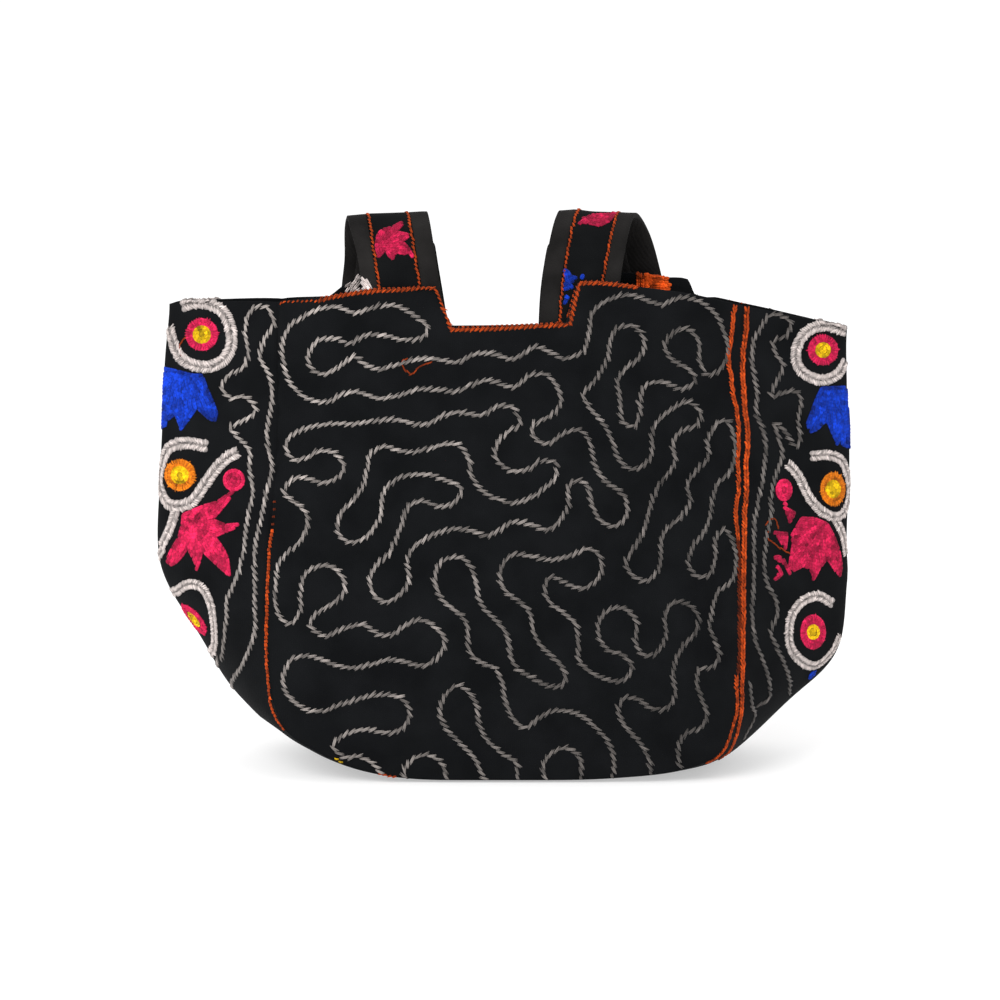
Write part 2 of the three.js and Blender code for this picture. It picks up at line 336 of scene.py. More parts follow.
for piece in handle_pieces.values():
    for vert in piece.data.vertices:
        vert.co += lean(vert.co)
    piece.data.update()
print("handles leaned:", ", ".join(handle_pieces))

# %% [markdown]
# ## Cloth finishes
# The body is matt black cotton: almost no gloss, a fine plain weave and faint cloudy wear. The handles'
# lining is a greyer twill whose ribs run slantwise. A picture of cloth could be mapped on, but it would
# need a map for every piece. Here two crossed wave textures make the weave, and one slanted wave makes
# the twill. Both read object coordinates in metres, so the thread pitch is a real size on every piece.

# %% Helpers for a finish
WAVE_TURN = 20


def start_finish(name):
    """A new material with its nodes, links and shader."""
    material = bpy.data.materials.new(name)
    material.use_nodes = True
    tree = material.node_tree
    return material, tree.nodes, tree.links, tree.nodes["Principled BSDF"]


def set_sockets(node, **values):
    """Sets the sockets of a node by name, with an underscore for each space."""
    for name, value in values.items():
        node.inputs[name.replace("_", " ")].default_value = value


def raise_bump(nodes, links, shader, height, strength, distance):
    """Lets a height stand out of the surface as bump."""
    bump = nodes.new("ShaderNodeBump")
    set_sockets(bump, Strength=strength, Distance=distance)
    links.new(height, bump.inputs["Height"])
    links.new(bump.outputs["Normal"], shader.inputs["Normal"])


def wave_scale(pitch):
    """Scale of a wave texture, 20 radians a unit, whose bands repeat after a pitch in metres."""
    return 2 * math.pi / (WAVE_TURN * pitch)


print(f"bands 1 mm apart need a wave scale of {wave_scale(MM):.0f}")

# %% Woven cloth
CLOUD_SIZE = 26 * MM
CLOUD_FROM, CLOUD_TO = 0.35, 0.7
WEAVE_HEIGHT = 0.25 * MM


def cloud(nodes, links, coordinates, dark, light):
    """A cloudy colour between two shades."""
    clouds = nodes.new("ShaderNodeTexNoise")
    set_sockets(clouds, Scale=1 / CLOUD_SIZE, Detail=5)
    links.new(coordinates, clouds.inputs["Vector"])
    shades = nodes.new("ShaderNodeValToRGB")
    for element, at, shade in zip(shades.color_ramp.elements, (CLOUD_FROM, CLOUD_TO), (dark, light)):
        element.position = at
        element.color = (*shade, 1)
    links.new(clouds.outputs["Fac"], shades.inputs["Fac"])
    return shades.outputs["Color"]


def bands(nodes, links, coordinates, direction, pitch):
    """Threads that lie side by side in one direction."""
    wave = nodes.new("ShaderNodeTexWave")
    wave.bands_direction = direction
    set_sockets(wave, Scale=wave_scale(pitch), Distortion=1.2, Detail=2, Detail_Scale=0.6)
    links.new(coordinates, wave.inputs["Vector"])
    return wave.outputs["Fac"]


def cloth_finish(name, dark, light, directions, pitch, relief):
    """Matt woven cloth, from its two shades and the directions of its threads."""
    material, nodes, links, shader = start_finish(name)
    coordinates = nodes.new("ShaderNodeTexCoord").outputs["Object"]
    links.new(cloud(nodes, links, coordinates, dark, light), shader.inputs["Base Color"])
    height = bands(nodes, links, coordinates, directions[0], pitch)
    for direction in directions[1:]:
        crossing = nodes.new("ShaderNodeMath")
        crossing.operation = "MAXIMUM"
        links.new(height, crossing.inputs[0])
        links.new(bands(nodes, links, coordinates, direction, pitch), crossing.inputs[1])
        height = crossing.outputs[0]
    raise_bump(nodes, links, shader, height, relief, WEAVE_HEIGHT)
    set_sockets(
        shader, Roughness=0.95, Specular_IOR_Level=0.05, Sheen_Weight=0.012, Sheen_Roughness=0.6)
    print("cloth finish:", name)
    return material


# %% Dress the cloth
PLAIN = {"directions": ("X", "Z"), "pitch": 1.1 * MM, "relief": 0.35}
TWILL = {"directions": ("DIAGONAL",), "pitch": 1.3 * MM, "relief": 0.5}
black_cotton = cloth_finish(
    "black_cotton", dark=(0.0034, 0.0038, 0.0044), light=(0.0063, 0.0069, 0.0078), **PLAIN)
band_cotton = cloth_finish(
    "band_cotton", dark=(0.003, 0.0033, 0.0038), light=(0.0055, 0.006, 0.0064), **PLAIN)
grey_twill = cloth_finish(
    "grey_twill", dark=(0.0088, 0.0082, 0.008), light=(0.0198, 0.0184, 0.0178), **TWILL)


def dress(piece, material):
    """Gives a cloth its only material."""
    piece.data.materials.clear()
    piece.data.materials.append(material)
    print(f"{piece.name} wears {material.name}")


for piece in (front_panel, back_panel, gusset):
    dress(piece, black_cotton)
for name, piece in handle_pieces.items():
    if "band" in name:
        dress(piece, band_cotton)
    else:
        dress(piece, grey_twill)

# %% [markdown]
# ## Thread finishes
# The threads are soft cotton floss. Each strand carries its own tint, so that neighbours differ a little
# as real stitches do, and the same tint carries painted shade: darker strand ends, darker threads to the
# right and low on the bag, and darker padding between stitches, with painted light on one patch inside
# the mouth. Its own map runs along and round it, which lets one slanted wave twist the plies. A
# photograph of thread could be mapped on, but a twist drawn by nodes stays sharp from any side.

# %% Thread materials
PALE_SHEEN = 0.25
DYED_SHEEN = 0.04
PLY_HEIGHT = 0.2 * MM
PLY_RELIEF = 0.5


def thread_finish(name, colour, sheen):
    """Soft floss whose colour is multiplied by the strand's own tint, which also holds painted shade and
    light.
    """
    material, nodes, links, shader = start_finish(name)
    tint = nodes.new("ShaderNodeAttribute")
    tint.attribute_name = "tint"
    shade = nodes.new("ShaderNodeMix")
    shade.data_type = "RGBA"
    shade.blend_type = "MULTIPLY"
    shade.inputs["Factor"].default_value = 1
    shade.inputs[6].default_value = (*colour, 1)
    links.new(tint.outputs["Fac"], shade.inputs[7])
    links.new(shade.outputs[2], shader.inputs["Base Color"])
    along = nodes.new("ShaderNodeUVMap")
    along.uv_map = "twist"
    plies = nodes.new("ShaderNodeTexWave")
    plies.bands_direction = "DIAGONAL"
    set_sockets(plies, Scale=0.5, Distortion=0.8)
    links.new(along.outputs["UV"], plies.inputs["Vector"])
    raise_bump(nodes, links, shader, plies.outputs["Fac"], PLY_RELIEF, PLY_HEIGHT)
    set_sockets(
        shader, Roughness=0.78, Specular_IOR_Level=0.12, Sheen_Weight=sheen, Sheen_Roughness=0.45)
    return material


THREADS = {
    "rope": thread_finish("rope_floss", (0.40, 0.355, 0.33), PALE_SHEEN),
    "white": thread_finish("white_floss", (0.54, 0.475, 0.452), PALE_SHEEN),
    "orange": thread_finish("orange_floss", (0.46, 0.058, 0.006), DYED_SHEEN),
    "amber": thread_finish("amber_floss", (0.75, 0.20, 0.008), DYED_SHEEN),
    "yellow": thread_finish("yellow_floss", (0.75, 0.47, 0.005), DYED_SHEEN),
    "pink": thread_finish("pink_floss", (0.62, 0.014, 0.080), DYED_SHEEN),
    "blue": thread_finish("blue_floss", (0.004, 0.042, 0.47), DYED_SHEEN),
}
THREAD_SLOTS = {"amber": "orange_thread"}
print("thread finishes:", ", ".join(THREADS))

# %% [markdown]
# ## One strand of thread
# Every stitch on the bag is one short strand that comes up through the cloth, lies over it and goes down
# again. A small round ball is stretched into that strand, with tapered ends for the rope stitch and blunt
# ones for the rest. It has only a few dozen faces, because the bag needs thousands of strands. They could
# be thousands of objects, but one joined mesh for each thread is far quicker, so their places go straight
# into arrays.

# %% Shape the strand
PAINTED_MIDDLE_LIGHT = 1.1
POLE = 1e-6


def make_strand(around, along, fullness, end_shade_tint):
    """Corner places, triangles, twist map and painted end shade of a strand of unit size that lies along
    X.
    """
    bm = bmesh.new()
    bmesh.ops.create_uvsphere(bm, u_segments=around, v_segments=along, radius=0.5)
    bmesh.ops.triangulate(bm, faces=bm.faces[:])
    bm.verts.index_update()
    ball = np.array([v.co for v in bm.verts])
    faces = [[v.index for v in f.verts] for f in bm.faces]
    bm.free()
    # Faces may come in another order in each run, so they start at their lowest corner and are sorted.
    corners = np.array(sorted(min(f[i:] + f[:i] for i in range(3)) for f in faces))
    places = ball[:, [2, 0, 1]]
    girth = np.hypot(places[:, 1], places[:, 2])
    fuller = np.where(girth > POLE, (2 * girth) ** fullness / np.maximum(2 * girth, POLE), 0)
    places[:, 1:] *= fuller[:, None]
    turn = np.arctan2(places[:, 2], places[:, 1]) / (2 * math.pi)
    round_it = turn[corners]
    round_it[round_it < round_it.max(1, keepdims=True) - 0.5] += 1
    twist = np.stack([places[corners, 0], round_it], -1).reshape(-1, 2)
    # Painted shade: the tint falls from a lighter middle to darker ends, where the thread dives into the
    # cloth.
    painted_end_shade = PAINTED_MIDDLE_LIGHT + (end_shade_tint - PAINTED_MIDDLE_LIGHT) * (2 * places[:, 0]) ** 2
    return places, corners, twist, painted_end_shade


TAPERED_STRAND = make_strand(around=5, along=5, fullness=1.0, end_shade_tint=0.3)
BLUNT_STRAND = make_strand(around=5, along=4, fullness=0.55, end_shade_tint=0.78)
print(f"triangles: {len(TAPERED_STRAND[1])} tapered, {len(BLUNT_STRAND[1])} blunt")

# %% Gather strands, then sew them as one mesh
TINT_LIMIT = 2.4
rng = np.random.default_rng(11)
sewn = {}


def strand(piece, place, along, normal, length, width, height, lift, dip, tint, spread):
    """Notes one strand of a piece: where it lies, which way, its sizes in metres and its tint."""
    along = (along - normal * along.dot(normal)).normalized()
    across = normal.cross(along)
    limit = TINT_LIMIT * spread
    tint *= float(np.clip(rng.normal(1, spread), 1 - limit, 1 + limit))
    sewn.setdefault(piece, []).append(
        (*place, *along, *across, *normal, length, width, height, lift, dip, tint))


def sew(piece, thread, shape):
    """Makes the joined mesh of all the strands of a piece."""
    rows = np.array(sewn[piece])
    place, along, across, normal = (rows[:, i:i + 3] for i in (0, 3, 6, 9))
    length, width, height, lift, dip, tint = rows[:, 12:].T
    unit, corners, twist, painted_end_shade = shape
    count, size = len(rows), len(unit)
    drop = lift[:, None] - dip[:, None] * (2 * unit[None, :, 0]) ** 2
    points = (
        place[:, None]
        + along[:, None] * (length[:, None] * unit[None, :, 0])[..., None]
        + across[:, None] * (width[:, None] * unit[None, :, 1])[..., None]
        + normal[:, None] * (height[:, None] * unit[None, :, 2] + drop)[..., None]
    )
    faces = (corners[None] + (np.arange(count) * size)[:, None, None]).reshape(-1, 3)
    mesh = bpy.data.meshes.new(piece)
    mesh.from_pydata(points.reshape(-1, 3), [], faces)
    # Each point's tint is the strand's own tint times its painted end shade.
    mesh.attributes.new("tint", "FLOAT", "POINT").data.foreach_set(
        "value", (tint[:, None] * painted_end_shade).ravel().astype(np.float32))
    plies = np.tile(twist, (count, 1))
    plies[:, 0] *= np.repeat(length / MM, len(twist))
    plies[:, 1] *= np.repeat(width * math.pi / MM, len(twist))
    mesh.uv_layers.new(name="twist").data.foreach_set("uv", plies.astype(np.float32).ravel())
    mesh.polygons.foreach_set("use_smooth", np.ones(len(faces), bool))
    mesh.materials.append(THREADS[thread])
    mesh.update()
    made = add_object(piece, mesh)
    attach(made, "root")
    THREAD_SLOTS.get(thread, thread + "_thread")
    print(f"{piece}: {count} strands, {len(faces)} triangles")


# %% [markdown]
# ## From the chart to the cloth
# The embroidery is charted as a few given points on the photograph for each line. A smooth curve runs
# through the points, each step of it follows its line of sight to the cloth, and the stitches are then
# spaced along the cloth in millimetres. The stitches could be placed one by one, but a line with a pitch
# stays easy to change. The back of the bag takes the same chart from a mirrored eye, and a turned eye
# looks square at each fold of the gusset, which the photograph sees only from the edge.

# %% A smooth line through charted points
LINE_STEP = 2.0


def smooth_line(points, step=LINE_STEP):
    """Points along a smooth curve through given points."""
    p = np.array(points, float)
    if len(p) < 3:
        count = max(2, int(np.linalg.norm(p[1] - p[0]) / step) + 1)
        return p[0] + (p[1] - p[0]) * np.linspace(0, 1, count)[:, None]
    p = np.vstack([2 * p[0] - p[1], p, 2 * p[-1] - p[-2]])
    found = []
    for a, b, c, d in zip(p, p[1:], p[2:], p[3:]):
        count = max(1, int(np.ceil(np.linalg.norm(c - b) / step)))
        t = np.arange(count)[:, None] / count
        found.append(
            b + 0.5 * t * (c - a + t * (2 * a - 5 * b + 4 * c - d + t * (3 * (b - c) + d - a))))
    return np.vstack([*found, p[-2:-1]])


print("a bend through three points:", len(smooth_line([(0, 0), (20, 9), (40, 0)])), "steps")

# %% The faces that carry the stitches
PANEL_MIDDLE_PX = (500, 520)
NUDGES_PX = (0, 2, 4, 6)
OWN_HALF = 4 * MM
HANDLE_ROOM = 3.2 * MM
MIRRORED = Matrix.Diagonal((1, -1, 1))
FROM_LEFT = Matrix.Rotation(-math.pi / 2, 3, "Z")
FROM_RIGHT = Matrix.Rotation(math.pi / 2, 3, "Z")


class ClothFace:
    """The side of some cloth that the eye looks at, or that a turned or mirrored eye does."""

    def __init__(self, *pieces, turn=Matrix.Identity(3), own_half=False, clear_of=None):
        self.tree = tree_of(*pieces)
        self.turn = turn
        self.own_half = own_half
        self.clear_of = clear_of

    def at(self, px, py):
        """Place and normal of the cloth at a pixel, or just inside the outline if that misses it."""
        inward = np.array(PANEL_MIDDLE_PX) - (px, py)
        inward = inward / max(np.linalg.norm(inward), 1)
        for nudge in NUDGES_PX:
            sight = self.turn @ line_of_sight(px + inward[0] * nudge, py + inward[1] * nudge)
            place, normal, _, _ = self.tree.ray_cast(self.turn @ eye, sight)
            if place is None or (self.own_half and (self.turn.transposed() @ place).y > OWN_HALF):
                continue
            return place, -normal if normal.dot(sight) > 0 else normal
        return None

    def snap(self, place):
        """The nearest cloth and its normal."""
        found, normal, _, _ = self.tree.find_nearest(place)
        return found, normal

    def is_free(self, place, normal):
        """Whether no handle lies on this place."""
        if self.clear_of is None:
            return True
        return self.clear_of.find_nearest(place + normal * MM, HANDLE_ROOM)[0] is None


handle_tree = tree_of(*handle_pieces.values())
FRONT = ClothFace(front_panel, gusset, own_half=True)
BACK = ClothFace(back_panel, gusset, turn=MIRRORED, own_half=True, clear_of=handle_tree)
LEFT_FOLD = ClothFace(gusset, turn=FROM_LEFT)
RIGHT_FOLD = ClothFace(gusset, turn=FROM_RIGHT)
SIDES = {"front": FRONT, "back": BACK}
print("faces to sew on:", ", ".join(SIDES), "and both folds")

# %% Stretches of cloth under a line
RUN_BREAK = 6 * MM
OFF_CLOTH = 0.9 * MM
SHORTER = (1, 0.75, 0.5)
NEAR_END = 0.46


def length_on(face, place, along, length):
    """How long a strand can be before an end hangs off the cloth, or nothing."""
    for share in SHORTER:
        half = along * length * share * NEAR_END
        if all(face.tree.find_nearest(place + half * end)[3] < OFF_CLOTH for end in (-1, 1)):
            return length * share
    return 0


def runs_on(face, points, step=LINE_STEP):
    """Unbroken stretches of a charted line where it lies on the cloth."""
    runs, run = [], []
    for px, py in smooth_line(points, step):
        found = face.at(px, py)
        if found is None or (run and (found[0] - run[-1][0]).length > RUN_BREAK):
            runs.append(run)
            run = []
        if found is not None:
            run.append(found)
    runs.append(run)
    return [r for r in runs if len(r) > 1]


SAMPLE_PX = [(300, 520), (700, 520)]
sample_run = runs_on(FRONT, SAMPLE_PX)[0]
print("places along a line across the panel:", len(sample_run))

# %% Equal steps along a stretch
def distances(places):
    """How far along a line each of its places lies."""
    return np.concatenate([[0], np.cumsum(np.linalg.norm(np.diff(places, axis=0), axis=1))])


def along_line(at, gone, values):
    """A place or direction part of the way along a line."""
    return Vector([np.interp(at, gone, values[:, i]) for i in range(3)])


def spaced(run, pitch):
    """Places, directions and normals at equal steps along a stretch of cloth."""
    places = np.array([r[0] for r in run])
    normals = np.array([r[1] for r in run])
    gone = distances(places)
    count = max(1, int(round(gone[-1] / pitch)))
    for share in (np.arange(count) + 0.5) / count:
        at = share * gone[-1]
        ends = [np.array([np.interp(at + d, gone, places[:, i]) for i in range(3)]) for d in (-MM, MM)]
        normal = along_line(at, gone, normals).normalized()
        yield along_line(at, gone, places), Vector(ends[1] - ends[0]).normalized(), normal


sample_length = distances([place for place, _ in sample_run])[-1]
print(f"that line is {sample_length / MM:.0f} mm long on the cloth")

# %% [markdown]
# ## Rope stitch
# The wandering white line is stem stitch: long slanted strands that overlap, so that the line looks like
# a laid rope. Each stitch is a pair of thin strands, turned about a quarter of a right angle from the
# line. The line could be one twisted tube, but separate strands give the broken edge and the small
# irregularities of handwork. A pair that is splayed into a V makes a seam cord with the same helper.

# %% One stitch of two strands
SLANT_DRIFT = 0.07
SPLAY_DRIFT = 0.05
LENGTH_DRIFT = 0.1
WIDTH_DRIFT = 0.08
STITCH_LIFT = 0.3 * MM
STITCH_DIP = 0.65 * MM


def turned(along, normal, angle):
    """A direction in the cloth, turned about the cloth's normal."""
    return along * math.cos(angle) + normal.cross(along) * math.sin(angle)


def stitch_pair(piece, face, place, along, normal, kind, tint, spread):
    """Two strands side by side, with sizes in millimetres and turns in degrees."""
    slant = math.radians(kind["turn"]) + rng.normal(0, SLANT_DRIFT)
    across = normal.cross(turned(along, normal, slant))
    for hand in (-1, 1):
        spot = place + across * hand * kind["gap"] * MM
        angle = slant + hand * math.radians(kind["splay"]) + rng.normal(0, SPLAY_DRIFT)
        course = turned(along, normal, angle)
        length = kind["length"] * MM * rng.normal(1, LENGTH_DRIFT)
        width = kind["width"] * MM * rng.normal(1, WIDTH_DRIFT)
        if face:
            length = length_on(face, spot, course, length)
        if length:
            strand(
                piece, spot, course, normal, length, width, kind["height"] * MM, STITCH_LIFT,
                STITCH_DIP, tint, spread)


print(f"a stitch stands {STITCH_LIFT / MM:.1f} mm over the cloth")

# %% A rope line
ROPE = {
    "length": 6.8, "width": 0.98, "height": 1.0, "gap": 0.34, "splay": 3, "pitch": 3.8, "turn": 25,
}
SHORT_END = 5
ASIDE_DRIFT = 0.18 * MM
TINT_DRIFT = 0.22
TINT_RANGE = (0.6, 1.5)
PLAIN_TINT = 0.88
# Painted shade on the rope floss: its tint falls from the upper left to the right and towards the base.
PAINTED_LIGHT_AT = (-0.15, -0.09, 0.0, 0.09, 0.17)
ROPE_SHADE_TINT = (0.76, 0.69, 0.47, 0.29, 0.3)
SHADE_TOP = 0.2
SHADE_DEPTH = 0.15
LOW_SHADE_LOSS = 0.25


def rope_painted_shade(place):
    """Painted shade: the rope floss is tinted lightest at the top left of the bag, where the light comes
    from, and darker to the right and towards the base.
    """
    low = ease((SHADE_TOP - place.z) / SHADE_DEPTH)
    return np.interp(place.x, PAINTED_LIGHT_AT, ROPE_SHADE_TINT) * (1 - LOW_SHADE_LOSS * low)


def free_spots(face, run, pitch):
    """The stitches of a stretch that lie clear of the handles, without odd ends in between."""
    spots = list(spaced(run, pitch))
    for free, group in groupby(spots, lambda spot: face.is_free(spot[0], spot[2])):
        group = list(group)
        if free and (len(group) >= SHORT_END or len(group) == len(spots)):
            yield from group


def rope(piece, face, points, kind, spread=0.13):
    """Stitches of one kind along a charted line."""
    for run in runs_on(face, points):
        for place, along, normal in free_spots(face, run, kind["pitch"] * MM):
            aside = normal.cross(along) * rng.normal(0, ASIDE_DRIFT)
            # The rope's tint carries painted shade by where it lies on the bag.
            tint = rope_painted_shade(place) if kind is ROPE else kind.get("tint", PLAIN_TINT)
            tint *= float(np.clip(rng.normal(1, TINT_DRIFT), *TINT_RANGE))
            stitch_pair(piece, face, place + aside, along, normal, kind, tint, spread)


lit_tint, grey = rope_painted_shade(Vector((-0.1, 0, 0.25))), rope_painted_shade(Vector((0.1, 0, 0.05)))
print(f"rope tint: {lit_tint:.2f} at the top left, {grey:.2f} low on the right")

# %% [markdown]
# ### The wandering line of the panel
# One line starts at the top left and loops over the upper right down the right side. A second fills the
# left and the middle, and a third rises from the base. Short arches stand along the base, where other
# loops run under the bag. A procedural maze could give such lines, but a chart follows the real hand.

# %% Chart of the upper line
UPPER_LINE_PX = [
    (283, 358), (282, 345), (289, 328), (302, 317), (317, 310), (336, 307), (354, 313), (370, 309),
    (391, 305), (412, 314), (427, 327), (422, 337), (404, 340), (385, 335), (367, 335), (350, 343),
    (334, 338.5), (318, 341), (308.5, 354), (312, 369), (326, 374), (340, 366), (355, 357),
    (368, 366), (383, 369), (401, 363), (422, 358.5), (437, 359), (457, 362), (475, 354),
    (493, 353.5), (511, 359), (528, 351.5), (537, 346.5), (554, 354), (563, 358.5), (582, 352),
    (589, 335), (592, 315), (604, 302), (629, 295), (656, 303.5), (664, 304), (681, 298),
    (700, 302), (716, 315), (725, 335), (728, 353), (720, 369), (706, 374), (700, 360), (698, 340),
    (688, 329), (674, 332), (665, 345), (672, 360), (687, 368), (695, 381), (681, 389), (664, 382),
    (647, 384), (640, 398), (640, 415), (632, 427), (621, 418), (620, 400), (618, 381), (626, 368),
    (640, 357), (644, 340), (635, 327), (620, 327), (610, 340), (607, 358), (599, 375), (589, 387),
    (583, 396), (590, 408), (602, 422), (611, 438), (617, 455), (628, 468), (643, 466), (652, 453),
    (652, 436), (657, 422), (672, 409), (688, 401.5), (700, 412), (696, 425), (681, 431),
    (673, 444), (675, 460), (669, 473), (659, 485), (652, 500), (648, 517), (642, 534), (633, 549),
    (626, 562), (632, 575), (645, 581), (657, 573), (661, 556), (661, 540), (669, 527), (682, 516),
    (690, 501), (687, 485), (697, 470), (708, 457), (708, 440), (716, 424), (729, 422), (734, 440),
    (735, 457), (729, 473), (717, 485), (712, 500), (709, 519), (702, 534), (692, 548), (688, 564),
    (698, 576), (710, 574), (715, 557), (716, 539), (725, 529), (733, 543), (736, 562), (732, 580),
    (719, 591), (713, 606), (710, 626), (715, 642), (719, 657), (711, 667), (699, 669), (697, 685),
    (702, 700), (707, 715), (700, 728), (687, 733), (679, 746), (679, 761), (680, 768),
]
print("upper line:", len(UPPER_LINE_PX), "points")

# %% Chart of the left line
LEFT_LINE_PX = [
    (283, 358), (286, 374), (294, 388), (309, 399), (327, 402), (343, 394), (359, 392), (376, 398),
    (396, 396), (417, 390), (435, 389.5), (455, 391.5), (471, 385), (489, 380.5), (507, 386.5),
    (516, 386.5), (530, 376), (546, 375), (558, 388), (560, 404), (549, 417), (534, 424),
    (534, 438), (548, 443.5), (564, 433.5), (580, 430.5), (590, 443), (594, 462), (602, 478),
    (614, 487), (625, 497), (627, 513), (616, 526), (601, 521), (592, 504), (588, 487),
    (579, 480.5), (568, 487), (568, 505), (560, 521), (546, 530), (531, 524), (515, 521.5),
    (502, 528.5), (486, 536), (469, 530), (451, 529), (433, 535), (417, 544), (407, 559),
    (409, 577), (402, 592), (388, 601.5), (374, 595), (370, 578), (378, 564), (390, 552),
    (397, 536), (403, 520), (410, 505), (423, 501), (441, 506.5), (456, 501), (461, 488),
    (446, 480), (430, 475), (410, 475), (393, 481), (383, 495), (381, 513), (374, 528), (363, 539),
    (348, 541.5), (337, 530), (342, 513), (354, 500), (363, 486), (368, 468), (371, 453),
    (386, 446.5), (405, 452), (425, 450), (442, 445), (460, 446), (469, 460), (471, 475),
    (482, 490), (497, 499), (514, 503), (531, 498), (545, 488), (556, 476), (555, 463), (541, 461),
    (527, 470), (510, 470), (497, 460), (496, 447), (506, 433), (520, 424), (513, 408), (498, 406),
    (482, 415), (464, 412.5), (446, 414), (430, 423), (413, 424), (395, 419.5), (374, 421),
    (352, 424), (327, 424.5), (305, 428.5), (290, 437), (286, 449), (294, 460), (306, 458),
    (320, 451), (336, 454), (344, 466), (338, 477), (322, 483), (307, 478), (292, 479), (284, 491),
    (294, 502), (306, 513), (307, 528), (299, 542), (287, 553), (278, 565), (276, 584), (276, 608),
    (288, 624), (300, 612), (301, 593), (306, 574), (322, 565.5), (338, 571), (345, 588),
    (335, 602), (319, 612), (310, 625), (323, 636), (336, 632), (349, 627), (364, 625), (378, 634),
    (393, 634), (406, 625), (421, 620), (435, 627), (445, 641), (438, 657), (423, 666), (405, 662),
    (387, 660), (369, 665), (351, 668), (333, 664), (315, 657), (298, 657), (287, 665), (283, 682),
    (290, 698), (305, 709), (323, 711), (339, 705), (355, 700), (371, 696), (389, 694.5),
    (404, 700), (410, 715), (402, 728), (387, 733), (371, 730), (353, 731), (338, 739), (334, 747),
    (345, 757), (360, 756), (373, 764), (382, 774),
]
print("left line:", len(LEFT_LINE_PX), "points")

# %% Chart of the middle line and the base
MIDDLE_LINE_PX = [
    (612, 780), (614, 763), (611, 747), (602, 734), (590, 722), (576, 713), (560, 710), (545, 714),
    (526, 727), (513, 718), (506, 702), (503, 686), (497, 670), (485, 664), (472, 655), (468, 640),
    (467, 624), (457, 612), (443, 600), (436, 587), (436, 571), (443, 560), (459, 557), (471, 567),
    (476, 583), (479, 599), (488, 613), (500, 624), (508, 638), (510, 654), (518, 669), (533, 678),
    (549, 686), (562, 685), (566, 674), (556, 660), (543, 648), (534, 634), (531, 617), (523, 604),
    (505, 591), (500, 576), (505, 561), (519, 553.5), (536, 557.5), (553, 560), (570, 556),
    (585, 549), (598, 554), (602, 569), (594, 583), (581, 588), (566, 583), (551, 577), (545, 589),
    (550, 603), (564, 613), (576, 626), (578, 642), (578, 658), (588, 670), (603, 678), (620, 681),
    (632, 670), (624, 656), (608, 650), (599, 637), (600, 619), (612, 608), (628, 610), (637, 625),
    (635, 641), (644, 655), (657, 652), (666, 637), (665, 618), (672, 604), (688, 604), (698, 617),
    (695, 633), (683, 647), (675, 661), (673, 677), (675, 693), (668, 707), (653, 709), (639, 699),
    (624, 698), (618, 711), (626, 727), (638, 740), (647, 754), (650, 768), (649, 776),
]
BASE_LOOP_PX = [
    (486, 782), (480, 770), (473, 756), (460, 743), (447, 729), (440, 712), (445, 696), (457, 686),
    (470, 693), (477, 708), (479, 724), (487, 740), (502, 753), (517, 764), (517, 780),
]
LEFT_ARCH_PX = [(406, 779), (404, 772), (412, 759), (428, 755), (443, 765), (446, 779)]
RIGHT_ARCH_PX = [(546, 782), (543, 766), (551, 754), (567, 748), (580, 758), (581, 773), (579, 781)]
print("middle line:", len(MIDDLE_LINE_PX), "points")

# %% [markdown]
# ### Rope lines of the gusset
# Two lines run down each visible half of the gusset, beside its flowers, and two short ones cross the
# left fold near the base. Those two are charted as a turned eye sees them.

# %% Chart of the gusset's lines
LEFT_BAND_OUTER_PX = [
    (268, 307), (256, 306.5), (247, 317), (245, 333), (248, 352), (243, 367), (228, 376),
    (222, 388), (230, 397), (247, 398), (256, 410), (245, 420), (231, 427), (238, 437), (249, 449),
    (250, 470), (253, 493), (248, 515), (246, 535), (242, 557), (237, 577), (227, 600), (226, 622),
    (223, 648), (221, 660),
]
LEFT_BAND_INNER_PX = [
    (268, 307), (274, 323), (267, 335), (260, 355), (269, 375), (272, 395), (270, 415), (267, 435),
    (270, 455), (271, 475), (266, 495), (262, 515), (257, 537), (254, 558), (255, 582), (255, 606),
    (255, 630), (247, 655), (236, 675), (231, 682),
]
RIGHT_BAND_INNER_PX = [
    (768, 315.5), (761, 327), (754, 340), (752, 358), (754, 375), (757, 393), (756, 410),
    (761, 425), (765, 440), (765, 458), (763, 476), (760, 492), (757, 508), (754, 527), (754, 547),
    (754, 567), (753, 592), (752, 617), (755, 640), (763, 660), (769, 680), (769, 698), (757, 706),
]
RIGHT_BAND_OUTER_PX = [
    (768, 315.5), (780, 315.5), (791, 323), (786, 335), (774, 341), (776, 354), (783, 366),
    (777, 380), (771, 395), (783, 393), (797, 392), (801, 405), (798, 420), (800, 438), (795, 446),
    (783, 429), (775, 424), (779, 440), (782, 457), (776, 473), (771, 497), (771, 516), (767, 535),
    (764, 562), (767, 582), (776, 600), (777, 615), (771, 632), (778, 650), (786, 668), (790, 685),
    (789, 695),
]
RIGHT_FOOT_PX = [(750, 682), (752, 705), (755, 716), (746, 734), (743, 739)]
FOLD_ROPES_PX = [
    [(469, 712), (485, 723.5), (503, 728), (521, 723.5), (537, 712)],
    [(462, 735), (483, 744), (503, 747), (523, 744), (541, 735)],
]
print("rope lines over the fold:", len(FOLD_ROPES_PX))

